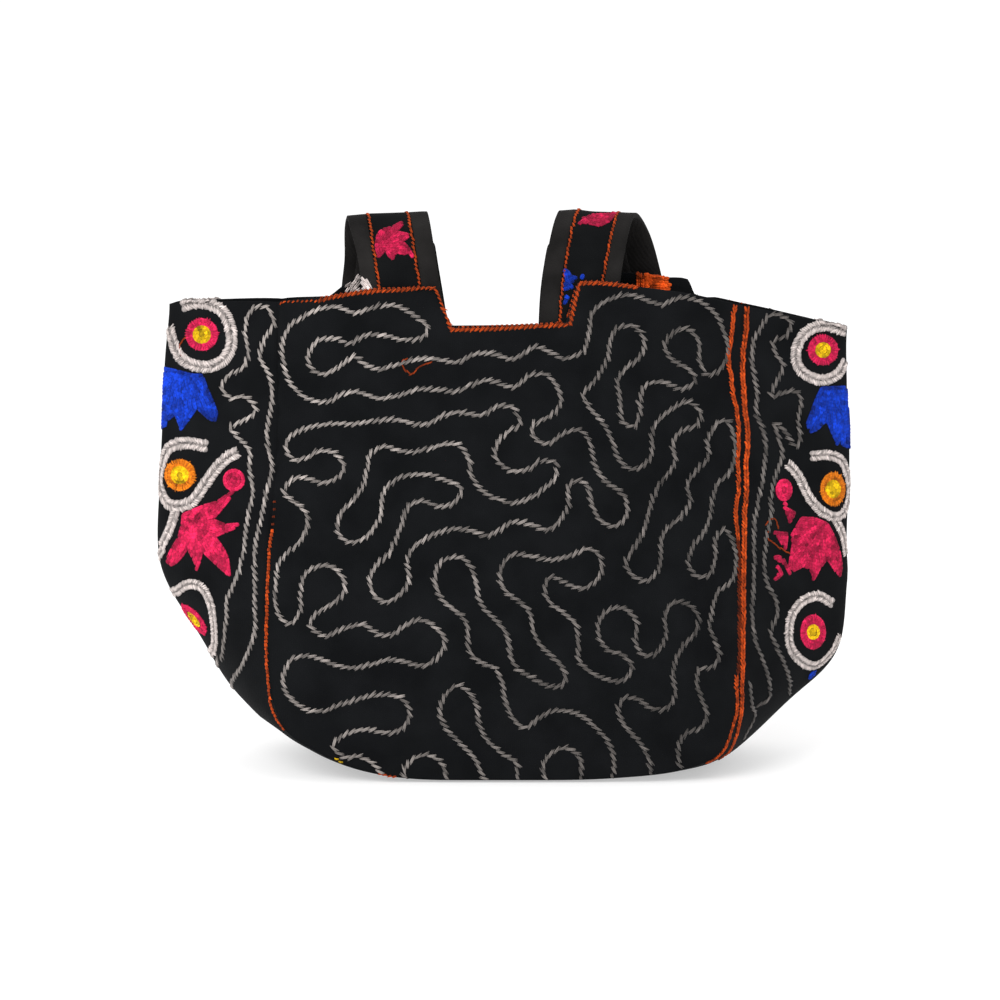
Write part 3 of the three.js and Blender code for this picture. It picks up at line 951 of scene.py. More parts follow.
# %% Sew the rope lines
ROPE_LINES_PX = [
    UPPER_LINE_PX, LEFT_LINE_PX, MIDDLE_LINE_PX, BASE_LOOP_PX, LEFT_ARCH_PX, RIGHT_ARCH_PX,
    LEFT_BAND_OUTER_PX, LEFT_BAND_INNER_PX, RIGHT_BAND_INNER_PX, RIGHT_BAND_OUTER_PX, RIGHT_FOOT_PX,
]
ROPE_SPREAD = 0.2
for line in FOLD_ROPES_PX:
    rope("rope_stitch_front", LEFT_FOLD, line, ROPE, ROPE_SPREAD)
for side, face in SIDES.items():
    for line in ROPE_LINES_PX:
        rope("rope_stitch_" + side, face, line, ROPE, ROPE_SPREAD)
    sew("rope_stitch_" + side, "rope", TAPERED_STRAND)

# %% [markdown]
# ## Orange seams and the bound edge
# The side seams are covered with rust-orange stitches: one row on the left, worn away towards its top,
# and on the right a wide row beside a second one, which is dull from its middle almost to the base. The
# mouth's edge is overcast with slanted stitches that follow the notch and go on over the rim. A cord
# along the seam would look too even, so all of them are pairs of strands as the rope is, shorter and set
# closer.

# %% Chart of the side seams
SEAM = {
    "length": 3.8, "width": 1.1, "height": 1.0, "gap": 0.56, "splay": -14, "pitch": 1.9, "turn": 10,
    "tint": 0.8,
}
WIDE = {**SEAM, "width": 1.3, "gap": 0.74}
DULL = {**SEAM, "width": 0.9, "gap": 0.4, "tint": 0.2}
BEAD = {
    "length": 2.6, "width": 1.05, "height": 0.95, "gap": 0.4, "splay": 6, "pitch": 2.1, "turn": 10,
    "tint": 0.8,
}
SPARSE = {**BEAD, "length": 1.6, "pitch": 4.2, "tint": 0.2}
LEFT_SEAM_TOP_PX = [(275, 498), (274, 512), (273, 528)]
LEFT_SEAM_PX = [
    (272.5, 529), (270, 545), (268, 575), (267, 605), (266, 640), (267, 670), (270, 700),
    (275, 716), (284, 730),
]
RIGHT_SEAM_INNER_PX = [
    (735, 305.5), (731, 340), (729, 362), (731, 375), (733, 392), (737, 412), (739, 435),
    (738, 460), (739, 488), (736, 510), (738, 540),
]
RIGHT_SEAM_DULL_PX = [
    (738, 540), (739.5, 560), (739.5, 590), (739.5, 620), (739.5, 650), (738, 674),
]
RIGHT_SEAM_FOOT_PX = [(736.5, 676), (737, 708), (732, 728), (725.5, 747), (716, 758), (706, 763)]
RIGHT_SEAM_OUTER_PX = [
    (747, 307.5), (746, 335), (743, 355), (743, 380), (745, 405), (748, 440), (746, 465),
    (746.5, 490), (744.5, 515), (744.5, 540), (743.5, 580), (743.5, 620), (743, 655), (742, 690),
    (741.5, 710), (737, 733), (730, 750), (718, 760),
]
SEAMS_PX = [
    (LEFT_SEAM_TOP_PX, SPARSE), (LEFT_SEAM_PX, BEAD), (RIGHT_SEAM_INNER_PX, SEAM),
    (RIGHT_SEAM_DULL_PX, DULL), (RIGHT_SEAM_FOOT_PX, SEAM), (RIGHT_SEAM_OUTER_PX, WIDE),
]
print("seam rows:", len(SEAMS_PX))

# %% Chart of the mouth's edge
UP, LEFT, RIGHT = Vector((0, 0, 1)), Vector((-1, 0, 0)), Vector((1, 0, 0))
MOUTH_EDGES_PX = [
    (UP, [(318, 301), (332, 297.5), (345, 295), (372, 291.5), (400, 290), (425, 288), (437, 289)]),
    (RIGHT, [(435, 287), (443, 308), (452, 331)]),
    (UP, [(450, 330), (500, 328.5), (540, 326), (568, 325)]),
    (LEFT, [(570, 326), (574, 306), (579, 286)]),
    (UP, [(576, 285), (590, 283), (620, 285), (638, 288)]),
]
WORN_EDGE_PX = [(277, 301.5), (300, 301.5), (318, 300.5)]
WORN = {
    "length": 2.2, "width": 0.45, "height": 0.5, "gap": 0.2, "splay": 4, "pitch": 2.6, "turn": 35,
}
EDGE = {
    "length": 4.3, "width": 0.66, "height": 0.75, "gap": 0.32, "splay": 5, "pitch": 2.7, "turn": 42,
}
OVER = {
    "length": 2.6, "width": 0.75, "height": 0.6, "gap": 0.36, "splay": 5, "turn": 12,
}
print("stretches of bound edge:", len(MOUTH_EDGES_PX))

# %% Sew the orange lines
PAD_HEIGHT = 0.5 * MM
PAD_LIFT = 0.05 * MM
PAD_SPREAD = 0.12
# The padding under the bound edge is tinted much darker, as painted shade between its stitches.
EDGE_PAD = {"length": 3.2 * MM, "width": 2.2 * MM, "tint": 0.24}
EDGE_TINT = 0.78
OVER_TINT = 0.7
EDGE_SPREAD = 0.3
SEAM_SPREAD = 0.25
RIM_REACH_MM = 7


def pad(piece, place, along, normal, length, width, tint):
    """A flat strand of padding under the stitches."""
    strand(
        piece, place, along, normal, length, width, PAD_HEIGHT, PAD_LIFT, 0, tint, PAD_SPREAD)


def overcast(piece, face, points, outward):
    """Slanted stitches near a rim, each of which goes on over the rim."""
    for run in runs_on(face, points):
        for place, along, normal in spaced(run, EDGE["pitch"] * MM):
            pad(piece, place, along, normal, **EDGE_PAD)
            stitch_pair(piece, None, place, along, normal, EDGE, EDGE_TINT, EDGE_SPREAD)
            rim, _ = face.snap(place + outward * RIM_REACH_MM * MM - normal * MM)
            stitch_pair(piece, None, rim, normal, outward, OVER, OVER_TINT, EDGE_SPREAD)


for side, face in SIDES.items():
    for line, kind in SEAMS_PX:
        rope("orange_seams_" + side, face, line, kind, SEAM_SPREAD)
for outward, line in MOUTH_EDGES_PX:
    overcast("orange_seams_front", FRONT, line, outward)
rope("orange_seams_front", FRONT, WORN_EDGE_PX, WORN, EDGE_SPREAD)
for side in SIDES:
    sew("orange_seams_" + side, "orange", BLUNT_STRAND)

# %% [markdown]
# ## White rings and hooks
# On the gusset each ring or hook is a satin band that curls round a dot: two rows of close strands laid
# across the line, over flat padding in the same thread, so that no black cloth shows between them. A
# raised strip with a striped bump could stand in for it, but the strands give the band its combed edge.
# Each row is snapped to the nearest cloth, so a ring runs on over the fold, and three short bands lie
# on the left fold itself.

# %% Chart of the white bands
LEFT_RING_PX = [
    (183, 306), (193, 303), (205, 303), (218, 308), (227, 318), (231.5, 335), (230, 350),
    (221, 362), (206, 367), (188, 363), (178, 354), (173, 342), (169, 327),
]
LEFT_HOOK_PX = [
    (206, 446), (185, 443), (168, 449), (161, 470), (161, 490), (170, 505), (190, 503), (203, 487),
    (215, 470), (227, 458), (238, 452),
]
LEFT_BRANCH_PX = [(175, 512), (170, 528), (161, 547)]
LEFT_LOW_HOOK_PX = [
    (176, 592), (184, 586), (193, 584), (203, 589), (210, 603), (213.5, 622), (214.5, 640),
    (213, 652),
]
RIGHT_RING_PX = [
    (845, 331), (836, 328), (826, 325.5), (811, 329), (800.5, 339), (796, 352), (798, 366),
    (808, 376), (823, 380), (838, 374), (845, 362),
]
RIGHT_HOOK_PX = [
    (812, 456), (828, 455), (841, 460), (847, 473), (849, 486), (848, 500), (844, 512), (835, 517),
    (820, 510), (808, 495), (798, 475), (787, 463),
]
RIGHT_BRANCH_PX = [(836, 520), (843, 535), (846, 555)]
RIGHT_LOW_RING_PX = [
    (832, 603), (818, 596), (803, 601), (792, 615), (789, 632), (791, 648), (800, 660), (812, 666),
    (822, 662), (833, 650), (840, 635),
]
WHITE_BANDS_PX = [
    (LEFT_RING_PX, 7.0), (LEFT_HOOK_PX, 7.0), (LEFT_BRANCH_PX, 6.4), (LEFT_LOW_HOOK_PX, 5.8),
    (RIGHT_RING_PX, 6.4), (RIGHT_HOOK_PX, 5.8), (RIGHT_BRANCH_PX, 5.6), (RIGHT_LOW_RING_PX, 5.9),
]
FOLD_BAND_WIDTH = 5.8
FOLD_BANDS_PX = [
    [(521, 651), (512, 655), (503, 656), (494, 655), (485, 651)],
    [(531, 706), (519, 713), (503, 716), (487, 713), (475, 706)],
    [(516, 607), (510, 615), (503, 619), (496, 615), (490, 607)],
]
print("white bands:", len(WHITE_BANDS_PX), "on each side and", len(FOLD_BANDS_PX), "on the fold")

# %% Sew the white bands
SATIN_PITCH = 1.15 * MM
SATIN_TURN = math.radians(58)
ROW_ASIDE = 0.27
ROW_LENGTH = 0.55
ROW_LENGTH_DRIFT = 0.12
ROW_DRIFT = 0.2
ROW_DRIFT_ASIDE = 0.2 * MM
ROW_STRAND = {
    "width": 1.05 * MM, "height": 1.0 * MM, "lift": 0.3 * MM, "dip": 0.5 * MM, "tint": 1.0,
    "spread": 0.2,
}
# The padding under the rows is tinted darker, as painted shade between the strands.
ROW_PAD_LENGTH, ROW_PAD_SHADE = 4.2 * MM, 0.62
FURROW_DRIFT = 0.25
# The strands in the groove between the rows are tinted darker, as painted shade in the groove.
FURROW_STRAND = {
    "length": 3.2 * MM, "width": 1.0 * MM, "height": 0.8 * MM, "lift": 0.15 * MM, "dip": 0.4 * MM,
    "tint": 0.45, "spread": 0.25,
}
FACING_AWAY = -0.2
PAD_EVERY = 3
FURROW_EVERY = 2


def satin(piece, face, points, width):
    """Two rows of strands across a charted line, together as wide as the band, in metres."""
    for run in runs_on(face, points):
        for k, (place, along, normal) in enumerate(spaced(run, SATIN_PITCH)):
            across = normal.cross(along)
            for hand in (-1, 1):
                spot, outward = face.snap(place + across * hand * width * ROW_ASIDE)
                if outward.dot(normal) < FACING_AWAY or not face.is_free(spot, outward):
                    continue
                if k % PAD_EVERY == 0:
                    pad(piece, spot, along, outward, ROW_PAD_LENGTH, width / 2, ROW_PAD_SHADE)
                spot += across * rng.normal(0, ROW_DRIFT_ASIDE)
                course = turned(along, outward, hand * SATIN_TURN + rng.normal(0, ROW_DRIFT))
                length = width * ROW_LENGTH * rng.normal(1, ROW_LENGTH_DRIFT)
                length = length_on(face, spot, course, length)
                if length:
                    strand(piece, spot, course, outward, length, **ROW_STRAND)
            if k % FURROW_EVERY == 0 and face.is_free(place, normal):
                course = turned(along, normal, rng.normal(0, FURROW_DRIFT))
                strand(piece, place, course, normal, **FURROW_STRAND)


for line in FOLD_BANDS_PX:
    satin("white_satin_front", LEFT_FOLD, line, FOLD_BAND_WIDTH * MM)
for side, face in SIDES.items():
    for line, width in WHITE_BANDS_PX:
        satin("white_satin_" + side, face, line, width * MM)
    sew("white_satin_" + side, "white", BLUNT_STRAND)

# %% [markdown]
# ## Chain fills
# Flowers and dots are filled with rows of chain stitch, whose links are narrow Vs. A coloured patch with
# a bump could show the rows, but real links catch the light at every angle. They are worked over flat
# padding in the same thread. A fill refuses a link that would crowd one already sewn, so rows may fan out
# from a flower's base and still lie flat.

# %% Rows of links
LINK = {"length": 3.4, "width": 1.15, "height": 0.9, "gap": 0.48, "splay": -10, "turn": 0}
LINK_PITCH = 1.9 * MM
LINK_SPREAD = 0.16
LINK_PAD = {"length": 3.4 * MM, "width": 2.6 * MM}
LINK_PAD_SHADE = 0.8
CROWDING = 1.5 * MM
MOTTLE = 0.9
MOTTLE_SIZE = 3.6 * MM
# Painted shade on the dyed threads: their tint falls from the left to the right of the bag.
DYED_SHADE_TINT = (0.97, 0.96, 0.94, 0.88, 0.84)
FILL_TINT = 0.92
ROW_STEP = 1.5
ROW_SHADE_DRIFT = 0.13
ROW_SHADES = (0.7, 1.2)


def dyed_painted_shade(place):
    """Painted shade: the dyed threads are tinted brightest on the left, where the light comes from, and
    darker to the right, but less so than the white one.
    """
    return np.interp(place.x, PAINTED_LIGHT_AT, DYED_SHADE_TINT)


def link(piece, face, place, along, normal, crowd, tint):
    """One V of chain stitch on its padding."""
    if not face.is_free(place, normal):
        return
    if any((place - other).length_squared < CROWDING * CROWDING for other in crowd):
        return
    crowd.append(place.copy())
    # The tint gets painted shade by where the link lies across the bag, times a random mottle.
    tint *= dyed_painted_shade(place) * (1 + MOTTLE * noise.noise(place / MOTTLE_SIZE))
    pad(piece, place, along, normal, **LINK_PAD, tint=tint * LINK_PAD_SHADE)
    stitch_pair(piece, face, place, along, normal, LINK, tint, LINK_SPREAD)


def fill_rows(piece, face, rows, crowd, tint=FILL_TINT):
    """Chain rows, each with a shade of its own."""
    for row in rows:
        shade = tint * float(np.clip(rng.normal(1, ROW_SHADE_DRIFT), *ROW_SHADES))
        for run in runs_on(face, row, ROW_STEP):
            for place, along, normal in spaced(run, LINK_PITCH):
                link(piece, face, place, along, normal, crowd, shade)


print(f"links lie {LINK_PITCH / MM:.1f} mm apart")

# %% Dots with a fringe
CHAIN_ROW = 3.4
# The pad under a dot's heart is tinted darker, as painted shade between the links.
HEART = {"length": 5 * MM, "width": 5 * MM, "tint": 0.72}
FEWEST_CORNERS = 8
CORNERS_PER_PIXEL = 3
FRINGE_STEP = 2.6
FRINGE_FROM = (0.78, 0.94)
FRINGE_AHEAD = 0.15
FRINGE_LENGTHS_MM = (2.6, 4.6)
FRINGE_LEAST = 0.5 * MM
FRINGE_STRAND = {
    "width": MM, "height": 0.9 * MM, "lift": 0.4 * MM, "dip": 0.4 * MM, "tint": 0.8, "spread": 0.2,
}


def dot(piece, face, centre, outer, inner, crowd):
    """Rings of chain stitch between two radii, each given across and up."""
    cx, cy = centre
    count = max(1, round((max(outer) - max(inner)) / CHAIN_ROW))
    rows = []
    heart = None if max(inner) else face.at(cx, cy)
    if heart and face.is_free(*heart):
        pad(piece, heart[0], UP, heart[1], **HEART)
    for k in range(count):
        share = (k + 0.5) / count
        rx = outer[0] + (inner[0] - outer[0]) * share
        ry = outer[1] + (inner[1] - outer[1]) * share
        corners = max(FEWEST_CORNERS, int(max(rx, ry) * CORNERS_PER_PIXEL))
        turns = np.linspace(0, 2 * math.pi, corners)
        rows.append([(cx + rx * math.cos(t), cy + ry * math.sin(t)) for t in turns])
    fill_rows(piece, face, rows, crowd)


def fringe(piece, face, centre, radius):
    """Short strands that stand out round the edge of a dot, some longer than others."""
    for turn in np.arange(0, 2 * math.pi, FRINGE_STEP / max(radius)):
        out = np.array((radius[0] * math.cos(turn), radius[1] * math.sin(turn)))
        start = rng.uniform(*FRINGE_FROM)
        root, tip = face.at(*(centre + out * start)), face.at(*(centre + out * (start + FRINGE_AHEAD)))
        if root and tip and face.is_free(*root) and (tip[0] - root[0]).length > FRINGE_LEAST:
            course = (tip[0] - root[0]).normalized()
            length = length_on(face, root[0], course, rng.uniform(*FRINGE_LENGTHS_MM) * MM)
            if length:
                strand(piece, root[0], course, root[1], length, **FRINGE_STRAND)


print("rings of links in a dot of 15 pixels:", round(15 / CHAIN_ROW))

# %% Padding inside a charted outline
PAD_STEP = 2.2
PAD_CORNERS = ((-2, 0), (2, 0), (0, -2), (0, 2))
SHAPE_PAD = {"length": 2.6 * MM, "width": 2.2 * MM}


def is_within(outline, point):
    """Whether a pixel lies inside a charted outline."""
    ends = np.roll(outline, -1, axis=0)
    crossed = (outline[:, 1] > point[1]) != (ends[:, 1] > point[1])
    a, b = outline[crossed], ends[crossed]
    crossings = a[:, 0] + (point[1] - a[:, 1]) / (b - a)[:, 1] * (b - a)[:, 0]
    return np.sum(point[0] < crossings) % 2 == 1


def pad_shape(piece, face, outline, tint):
    """Padding all over a charted outline, so that no cloth shows between the links."""
    low, high = outline.min(0), outline.max(0)
    for px in np.arange(low[0] + 1, high[0], PAD_STEP):
        for py in np.arange(low[1] + 1, high[1], PAD_STEP):
            inside = all(is_within(outline, (px + dx, py + dy)) for dx, dy in PAD_CORNERS)
            found = inside and face.at(px, py)
            if found and face.is_free(*found):
                pad(piece, found[0], UP, found[1], **SHAPE_PAD, tint=tint)


SQUARE = np.array([(0, 0), (20, 0), (20, 20), (0, 20)], float)
print("the middle of a square lies within it:", is_within(SQUARE, (10, 10)))

# %% Fill a charted outline
SHAPE_PAD_SHADE = 0.7
OUTLINE_SHADE = 0.85
EDGE_INSET = 1.5
PAST_EDGE = 3


def edge_rows(outline):
    """A row just inside each side of a charted outline."""
    for a, b in zip(outline, np.roll(outline, -1, axis=0)):
        along = (b - a) / np.linalg.norm(b - a)
        inset = np.array([-along[1], along[0]]) * EDGE_INSET
        if not is_within(outline, (a + b) / 2 + inset):
            inset = -inset
        yield [a + inset + along, b + inset - along]


def fanned_rows(outline, root):
    """Rows that fan out from a root, where they cross a charted outline."""
    rows = []
    reach = np.linalg.norm(outline - root, axis=1).max()
    for turn in np.arange(0, 2 * math.pi, CHAIN_ROW / reach):
        row = []
        for away in np.arange(0, reach + PAST_EDGE, ROW_STEP):
            spot = root + away * np.array((math.cos(turn), math.sin(turn)))
            if is_within(outline, spot):
                row.append(spot)
            elif row:
                rows.append(row)
                row = []
    return [row for row in rows if len(row) > 1]


def fill_shape(piece, face, outline, root, tint=FILL_TINT):
    """Padding, a row of links just inside a charted outline, then rows that fan out from a root."""
    outline, root, crowd = np.array(outline, float), np.array(root, float), []
    pad_shape(piece, face, outline, tint * SHAPE_PAD_SHADE)
    fill_rows(piece, face, edge_rows(outline), crowd, tint * OUTLINE_SHADE)
    fill_rows(piece, face, fanned_rows(outline, root), crowd, tint)


print("rows that fan over that square:", len(fanned_rows(SQUARE, np.array((10, -5)))))

# %% [markdown]
# ### Dots and flowers
# Every ring holds a dot of two colours, worked from the outside in. Between the rings stand blue tulips,
# which hang with their petals down, and pink lotus flowers with five petals. One dot on each flank of
# the left fold and the middle of both tulips are charted as a turned eye sees them.

# %% Chart of the dots
TWO_COLOUR_DOTS_PX = [
    ("pink", (202, 334.5), (16, 16), (9, 9)),
    ("amber", (180, 475), (15.5, 15.5), (9, 9)),
    ("pink", (823, 350), (15, 15), (8, 8)),
    ("amber", (833, 489), (12, 16.5), (7.5, 9)),
    ("pink", (813, 632), (12, 17), (7, 8)),
]
FOLD_DOTS_PX = {"front": (527.5, 677.5), "back": (478.5, 677.5)}
FOLD_DOT_OUTER_PX, FOLD_DOT_INNER_PX = (15.5, 14), (8, 7.5)
SMALL_DOTS_PX = [((234, 480), (11, 11)), ((784, 490), (8, 11))]
print("dots on each side:", len(TWO_COLOUR_DOTS_PX) + len(SMALL_DOTS_PX) + 1)

# %% Chart of the flowers
LEFT_TULIP_PX = [
    (164, 367), (178, 370), (192, 374), (203, 374), (208, 388), (214, 402), (218, 413), (216, 422),
    (209, 420), (197, 409), (190, 419), (181, 431), (175, 415.5), (168, 421), (162, 428),
    (161, 400), (163, 380),
]
RIGHT_TULIP_PX = [
    (821, 387), (846, 386), (847, 400), (846.5, 432), (842, 438), (837.5, 446), (832, 435),
    (826.5, 421.5), (818, 430), (810, 433.5), (806, 424), (811, 410), (816, 397),
]
LEFT_LOTUS_PX = [
    (182, 514), (191, 510), (203, 505), (217, 501), (227, 494), (233, 490), (230, 500), (223, 509),
    (214, 519), (226, 524), (239, 523), (236, 528.5), (225, 533), (216, 537), (223, 546),
    (229, 558), (231, 576), (225, 573), (216, 565), (203, 552.5), (201, 561), (197.5, 571),
    (192, 558), (187.5, 550), (182.5, 557.5), (176, 564), (170, 566.5), (165, 561), (171, 548),
    (177.5, 537.5), (181, 525),
]
RIGHT_LOTUS_PX = [
    (801, 517), (815, 517.5), (828, 523), (835, 536), (840, 550), (843, 566), (841, 577),
    (835, 572), (827, 560), (821, 568), (814, 581), (809, 569), (803, 567), (793, 572), (788, 567),
    (790, 555), (792, 543), (790, 536), (795, 527),
]
WORN_PETALS_PX = [
    [(782.5, 503), (786, 507), (796.5, 512.5), (793, 519), (790, 524), (786.5, 516)],
    [(773.5, 531), (788.5, 532.5), (786.5, 550), (781.5, 545), (777, 537.5)],
    [(773.5, 556.5), (778, 555), (784, 558), (792, 574), (788.5, 575), (782, 563), (776, 561)],
    [(778, 565), (780.5, 568), (783.5, 575), (775, 581)],
]
LOW_LEAF_PX = [(810, 672), (816, 669.5), (814, 676), (809.5, 681), (807.5, 678)]
FLOWERS_PX = [
    ("blue", LEFT_TULIP_PX, (184, 358)), ("blue", RIGHT_TULIP_PX, (834, 372)),
    ("blue", LOW_LEAF_PX, (812, 668)), ("pink", LEFT_LOTUS_PX, (192, 522)),
    ("pink", RIGHT_LOTUS_PX, (822, 526)), *(("pink", petal, (812, 528)) for petal in WORN_PETALS_PX),
]
FOLD_TULIP_ROOT_PX = (503, 380)
FOLD_TULIPS_PX = [
    (LEFT_FOLD, [(492, 409), (514, 409), (512, 468), (503, 474), (494, 468)]),
    (RIGHT_FOLD, [(492, 428), (514, 428), (512, 490), (503, 497), (494, 490)]),
]
print("flowers and petals on each side:", len(FLOWERS_PX))

# %% Sew the dots and flowers
for fold, outline in FOLD_TULIPS_PX:
    fill_shape("blue_chain_front", fold, outline, FOLD_TULIP_ROOT_PX)
for side, face in SIDES.items():
    dots = [(face, *row) for row in TWO_COLOUR_DOTS_PX]
    dots.append((LEFT_FOLD, "pink", FOLD_DOTS_PX[side], FOLD_DOT_OUTER_PX, FOLD_DOT_INNER_PX))
    for carrier, colour, centre, outer, inner in dots:
        crowd = []
        dot(colour + "_chain_" + side, carrier, centre, outer, inner, crowd)
        fringe(colour + "_chain_" + side, carrier, centre, outer)
        dot("yellow_chain_" + side, carrier, centre, inner, (0, 0), crowd)
    for centre, outer in SMALL_DOTS_PX:
        dot("pink_chain_" + side, face, centre, outer, (0, 0), [])
    for colour, outline, root in FLOWERS_PX:
        fill_shape(colour + "_chain_" + side, face, outline, root)
    for colour in ("pink", "amber", "yellow", "blue"):
        sew(colour + "_chain_" + side, colour, BLUNT_STRAND)

# %% [markdown]
# ## Embroidered handle band
# The front handle's band has an orange line along each edge and flowers between them. The lines could be
# charted on the photograph, but it shows only a short part of them, so they follow the long edges of the
# packed band over its whole length. The flowers that show are charted, and plain ones repeat along the
# part that hangs behind the bag.

# %% Find the band's long edges
SHARP = 1.0
LONG_PATH = 40


def long_edges(node):
    """The long sharp edges of a strip, each as places from its left end to its right end."""
    bm = merged_copy(node)
    sharp = {e for e in bm.edges if e.calc_face_angle() > SHARP}
    around = {v: [e for e in v.link_edges if e in sharp] for v in bm.verts}
    edges = []
    for corner in (v for v in bm.verts if len(around[v]) == 3):
        for edge in around[corner]:
            path, step = [corner], edge
            while True:
                path.append(step.other_vert(path[-1]))
                onward = [e for e in around[path[-1]] if e is not step]
                if len(onward) != 1:
                    break
                step = onward[0]
            places = np.array([v.co for v in path])
            if len(path) > LONG_PATH and places[0, 0] < places[-1, 0]:
                edges.append(places)
    bm.free()
    return edges


band_edges = sorted(long_edges("front_handle_band"), key=lambda places: places[0, 1])[:2]
band_edges.sort(key=lambda places: places[0, 0])
for places in band_edges:
    places += [lean(place) for place in places]
print("places along the band's edges:", [len(places) for places in band_edges])

# %% Orange lines along the band
class BandFace(ClothFace):
    """The face of the handle band, charted along and across it in photograph pixels."""

    def __init__(self, left, right, piece):
        super().__init__(piece)
        self.left, self.right = left, right
        self.gone = distances((left + right) / 2)
        self.length = self.gone[-1]

    def at(self, px, py):
        """Place and normal of the band, from the way along it and the way across from its middle."""
        run = px * PIXEL
        a, b = along_line(run, self.gone, self.left), along_line(run, self.gone, self.right)
        before, after = (along_line(run + step, self.gone, self.left) for step in (-MM, MM))
        normal = (b - a).cross(after - before).normalized()
        place = a.lerp(b, 0.5 + py * PIXEL / (b - a).length)
        return self.snap(place + normal * 2 * MM)[0], normal


FINE = {
    "length": 3.2, "width": 0.62, "height": 0.7, "gap": 0.28, "splay": 4, "pitch": 2.5, "turn": 22,
    "tint": 0.66,
}
LINE_ASIDE_PX = 19.5
LINE_END_PX = 4
BAND = BandFace(*band_edges, handle_pieces["front_handle_band"])
band_px = BAND.length / PIXEL
for across in (-LINE_ASIDE_PX, LINE_ASIDE_PX):
    line = [(LINE_END_PX, across), (band_px / 2, across), (band_px - LINE_END_PX, across)]
    rope("handle_orange", BAND, line, FINE)
print(f"the band is {BAND.length / MM:.0f} mm long")

# %% Flowers that show on the band
BAND_SHOWN = ClothFace(handle_pieces["front_handle_band"])
LEG_LOTUS_PX = [
    (377.5, 233), (382, 228.5), (392, 226), (402, 220.5), (404, 224.5), (398, 231), (409, 233.5),
    (409.5, 237), (403.5, 241.5), (409, 247), (414.5, 257), (406, 255), (397, 253.5), (395, 255),
    (393.5, 260.5), (389, 256.5), (385, 251), (382, 255), (378.5, 258), (375, 248), (376, 238),
]
LEG_PATCH_PX = [
    (577.5, 223.5), (584, 218), (591, 213.5), (618, 212), (610, 222), (600, 227), (588, 224.5),
]
LEG_TULIP_PX = [
    [(564.5, 269), (568, 270), (572, 275.5), (578, 277), (574, 282), (571, 284), (574, 287),
     (569, 289.5), (563.5, 291), (563, 286), (565.5, 281), (565, 275)],
    [(580, 279), (582, 273.5), (585, 274), (584.5, 280)],
    [(566.5, 295), (569.5, 297), (565.5, 305), (562.5, 304)],
]
LEG_FLOWERS_PX = [
    ("pink", LEG_LOTUS_PX, (379, 246), 0.76), ("pink", LEG_PATCH_PX, (570, 226), 0.62),
    *(("blue", outline, (566, 280), 0.85) for outline in LEG_TULIP_PX),
]
for colour, outline, root, tint in LEG_FLOWERS_PX:
    fill_shape("handle_" + colour, BAND_SHOWN, outline, root, tint)
print("charted outlines on the band:", len(LEG_FLOWERS_PX))

# %% Flowers that repeat behind the bag
BAND_LOTUS_PX = [
    (0, -4), (4, -14), (10, -8), (19, -13), (18, -5), (28, 0), (18, 5), (19, 13), (10, 8), (4, 14),
    (0, 4),
]
BAND_TULIP_PX = [
    (0, -7), (13, -10), (24, -12), (20, -5), (29, 0), (20, 5), (24, 12), (13, 10), (0, 7),
]
FLOWER_STEP = 46 * MM
PLAIN_END = 122 * MM
ROOT_BACK_PX = 4
first, last = PLAIN_END, BAND.length - PLAIN_END
flowers = int((last - first) / FLOWER_STEP)
for k in range(flowers + 1):
    foot = (first + (last - first) * k / flowers) / PIXEL
    outline, piece = (BAND_LOTUS_PX, "handle_pink") if k % 2 else (BAND_TULIP_PX, "handle_blue")
    outline = [(foot + along, across) for along, across in outline]
    fill_shape(piece, BAND, outline, (foot - ROOT_BACK_PX, 0))
for colour in ("orange", "pink", "blue"):
    sew("handle_" + colour, colour, BLUNT_STRAND)

# %% [markdown]
# ## Threads that peep out
# Behind the front edge a few more stitches show on the inside of the back panel, and some ends of thread
# have come loose on the front. Loose ends could be curves that hang free, but these lie flat, so they are
# strands like the rest, laid thin.

# %% Stitches inside the mouth
INSIDE = ClothFace(back_panel)
LEG = ClothFace(*handle_pieces.values(), back_panel)
TUFT_PX = [
    [(346.5, 292), (352, 285), (358, 277.5)], [(351, 293), (361, 281)], [(358, 277.5), (367, 290)],
    [(360, 277), (370, 291)], [(366.5, 280), (370, 288)], [(346, 285), (356, 282)],
    [(355, 292), (366, 287)],
]
TUFT = {
    "length": 5.2, "width": 0.9, "height": 0.9, "gap": 0.45, "splay": 4, "pitch": 2.8, "turn": 5,
    "tint": 1.06,
}
TUFT_SPREAD = 0.2
INSIDE_ORANGE_PX = [
    {"start": [(645, 273), (646, 291)],
     "end": [(664, 274), (670, 277), (666, 281), (671, 285), (669, 291)], "rows": 6},
    {"start": [(637, 272), (643, 272)], "end": [(637, 290), (644, 290)], "rows": 3},
]
# Painted light: the orange patch inside the mouth is tinted far brighter, so it looks lit though it lies
# in shade.
INSIDE_PAINTED_LIGHT = 1.75


def edge_steps(points, count):
    """Equal steps along a charted edge, corners kept."""
    p = np.array(points, float)
    gone = distances(p)
    at = (np.arange(count) + 0.5) / count * gone[-1]
    return np.stack([np.interp(at, gone, p[:, 0]), np.interp(at, gone, p[:, 1])], 1)


def fan(piece, face, patch, tint):
    """Rows that run from one charted edge of a patch to the other."""
    starts, ends = (edge_steps(patch[edge], patch["rows"]) for edge in ("start", "end"))
    fill_rows(piece, face, [[p, q] for p, q in zip(starts, ends)], [], tint)


for line in TUFT_PX:
    rope("inside_white", LEG, line, TUFT, TUFT_SPREAD)
for patch in INSIDE_ORANGE_PX:
    fan("inside_orange", INSIDE, patch, INSIDE_PAINTED_LIGHT)
print("strands inside the mouth:", len(sewn["inside_white"]) + len(sewn["inside_orange"]))

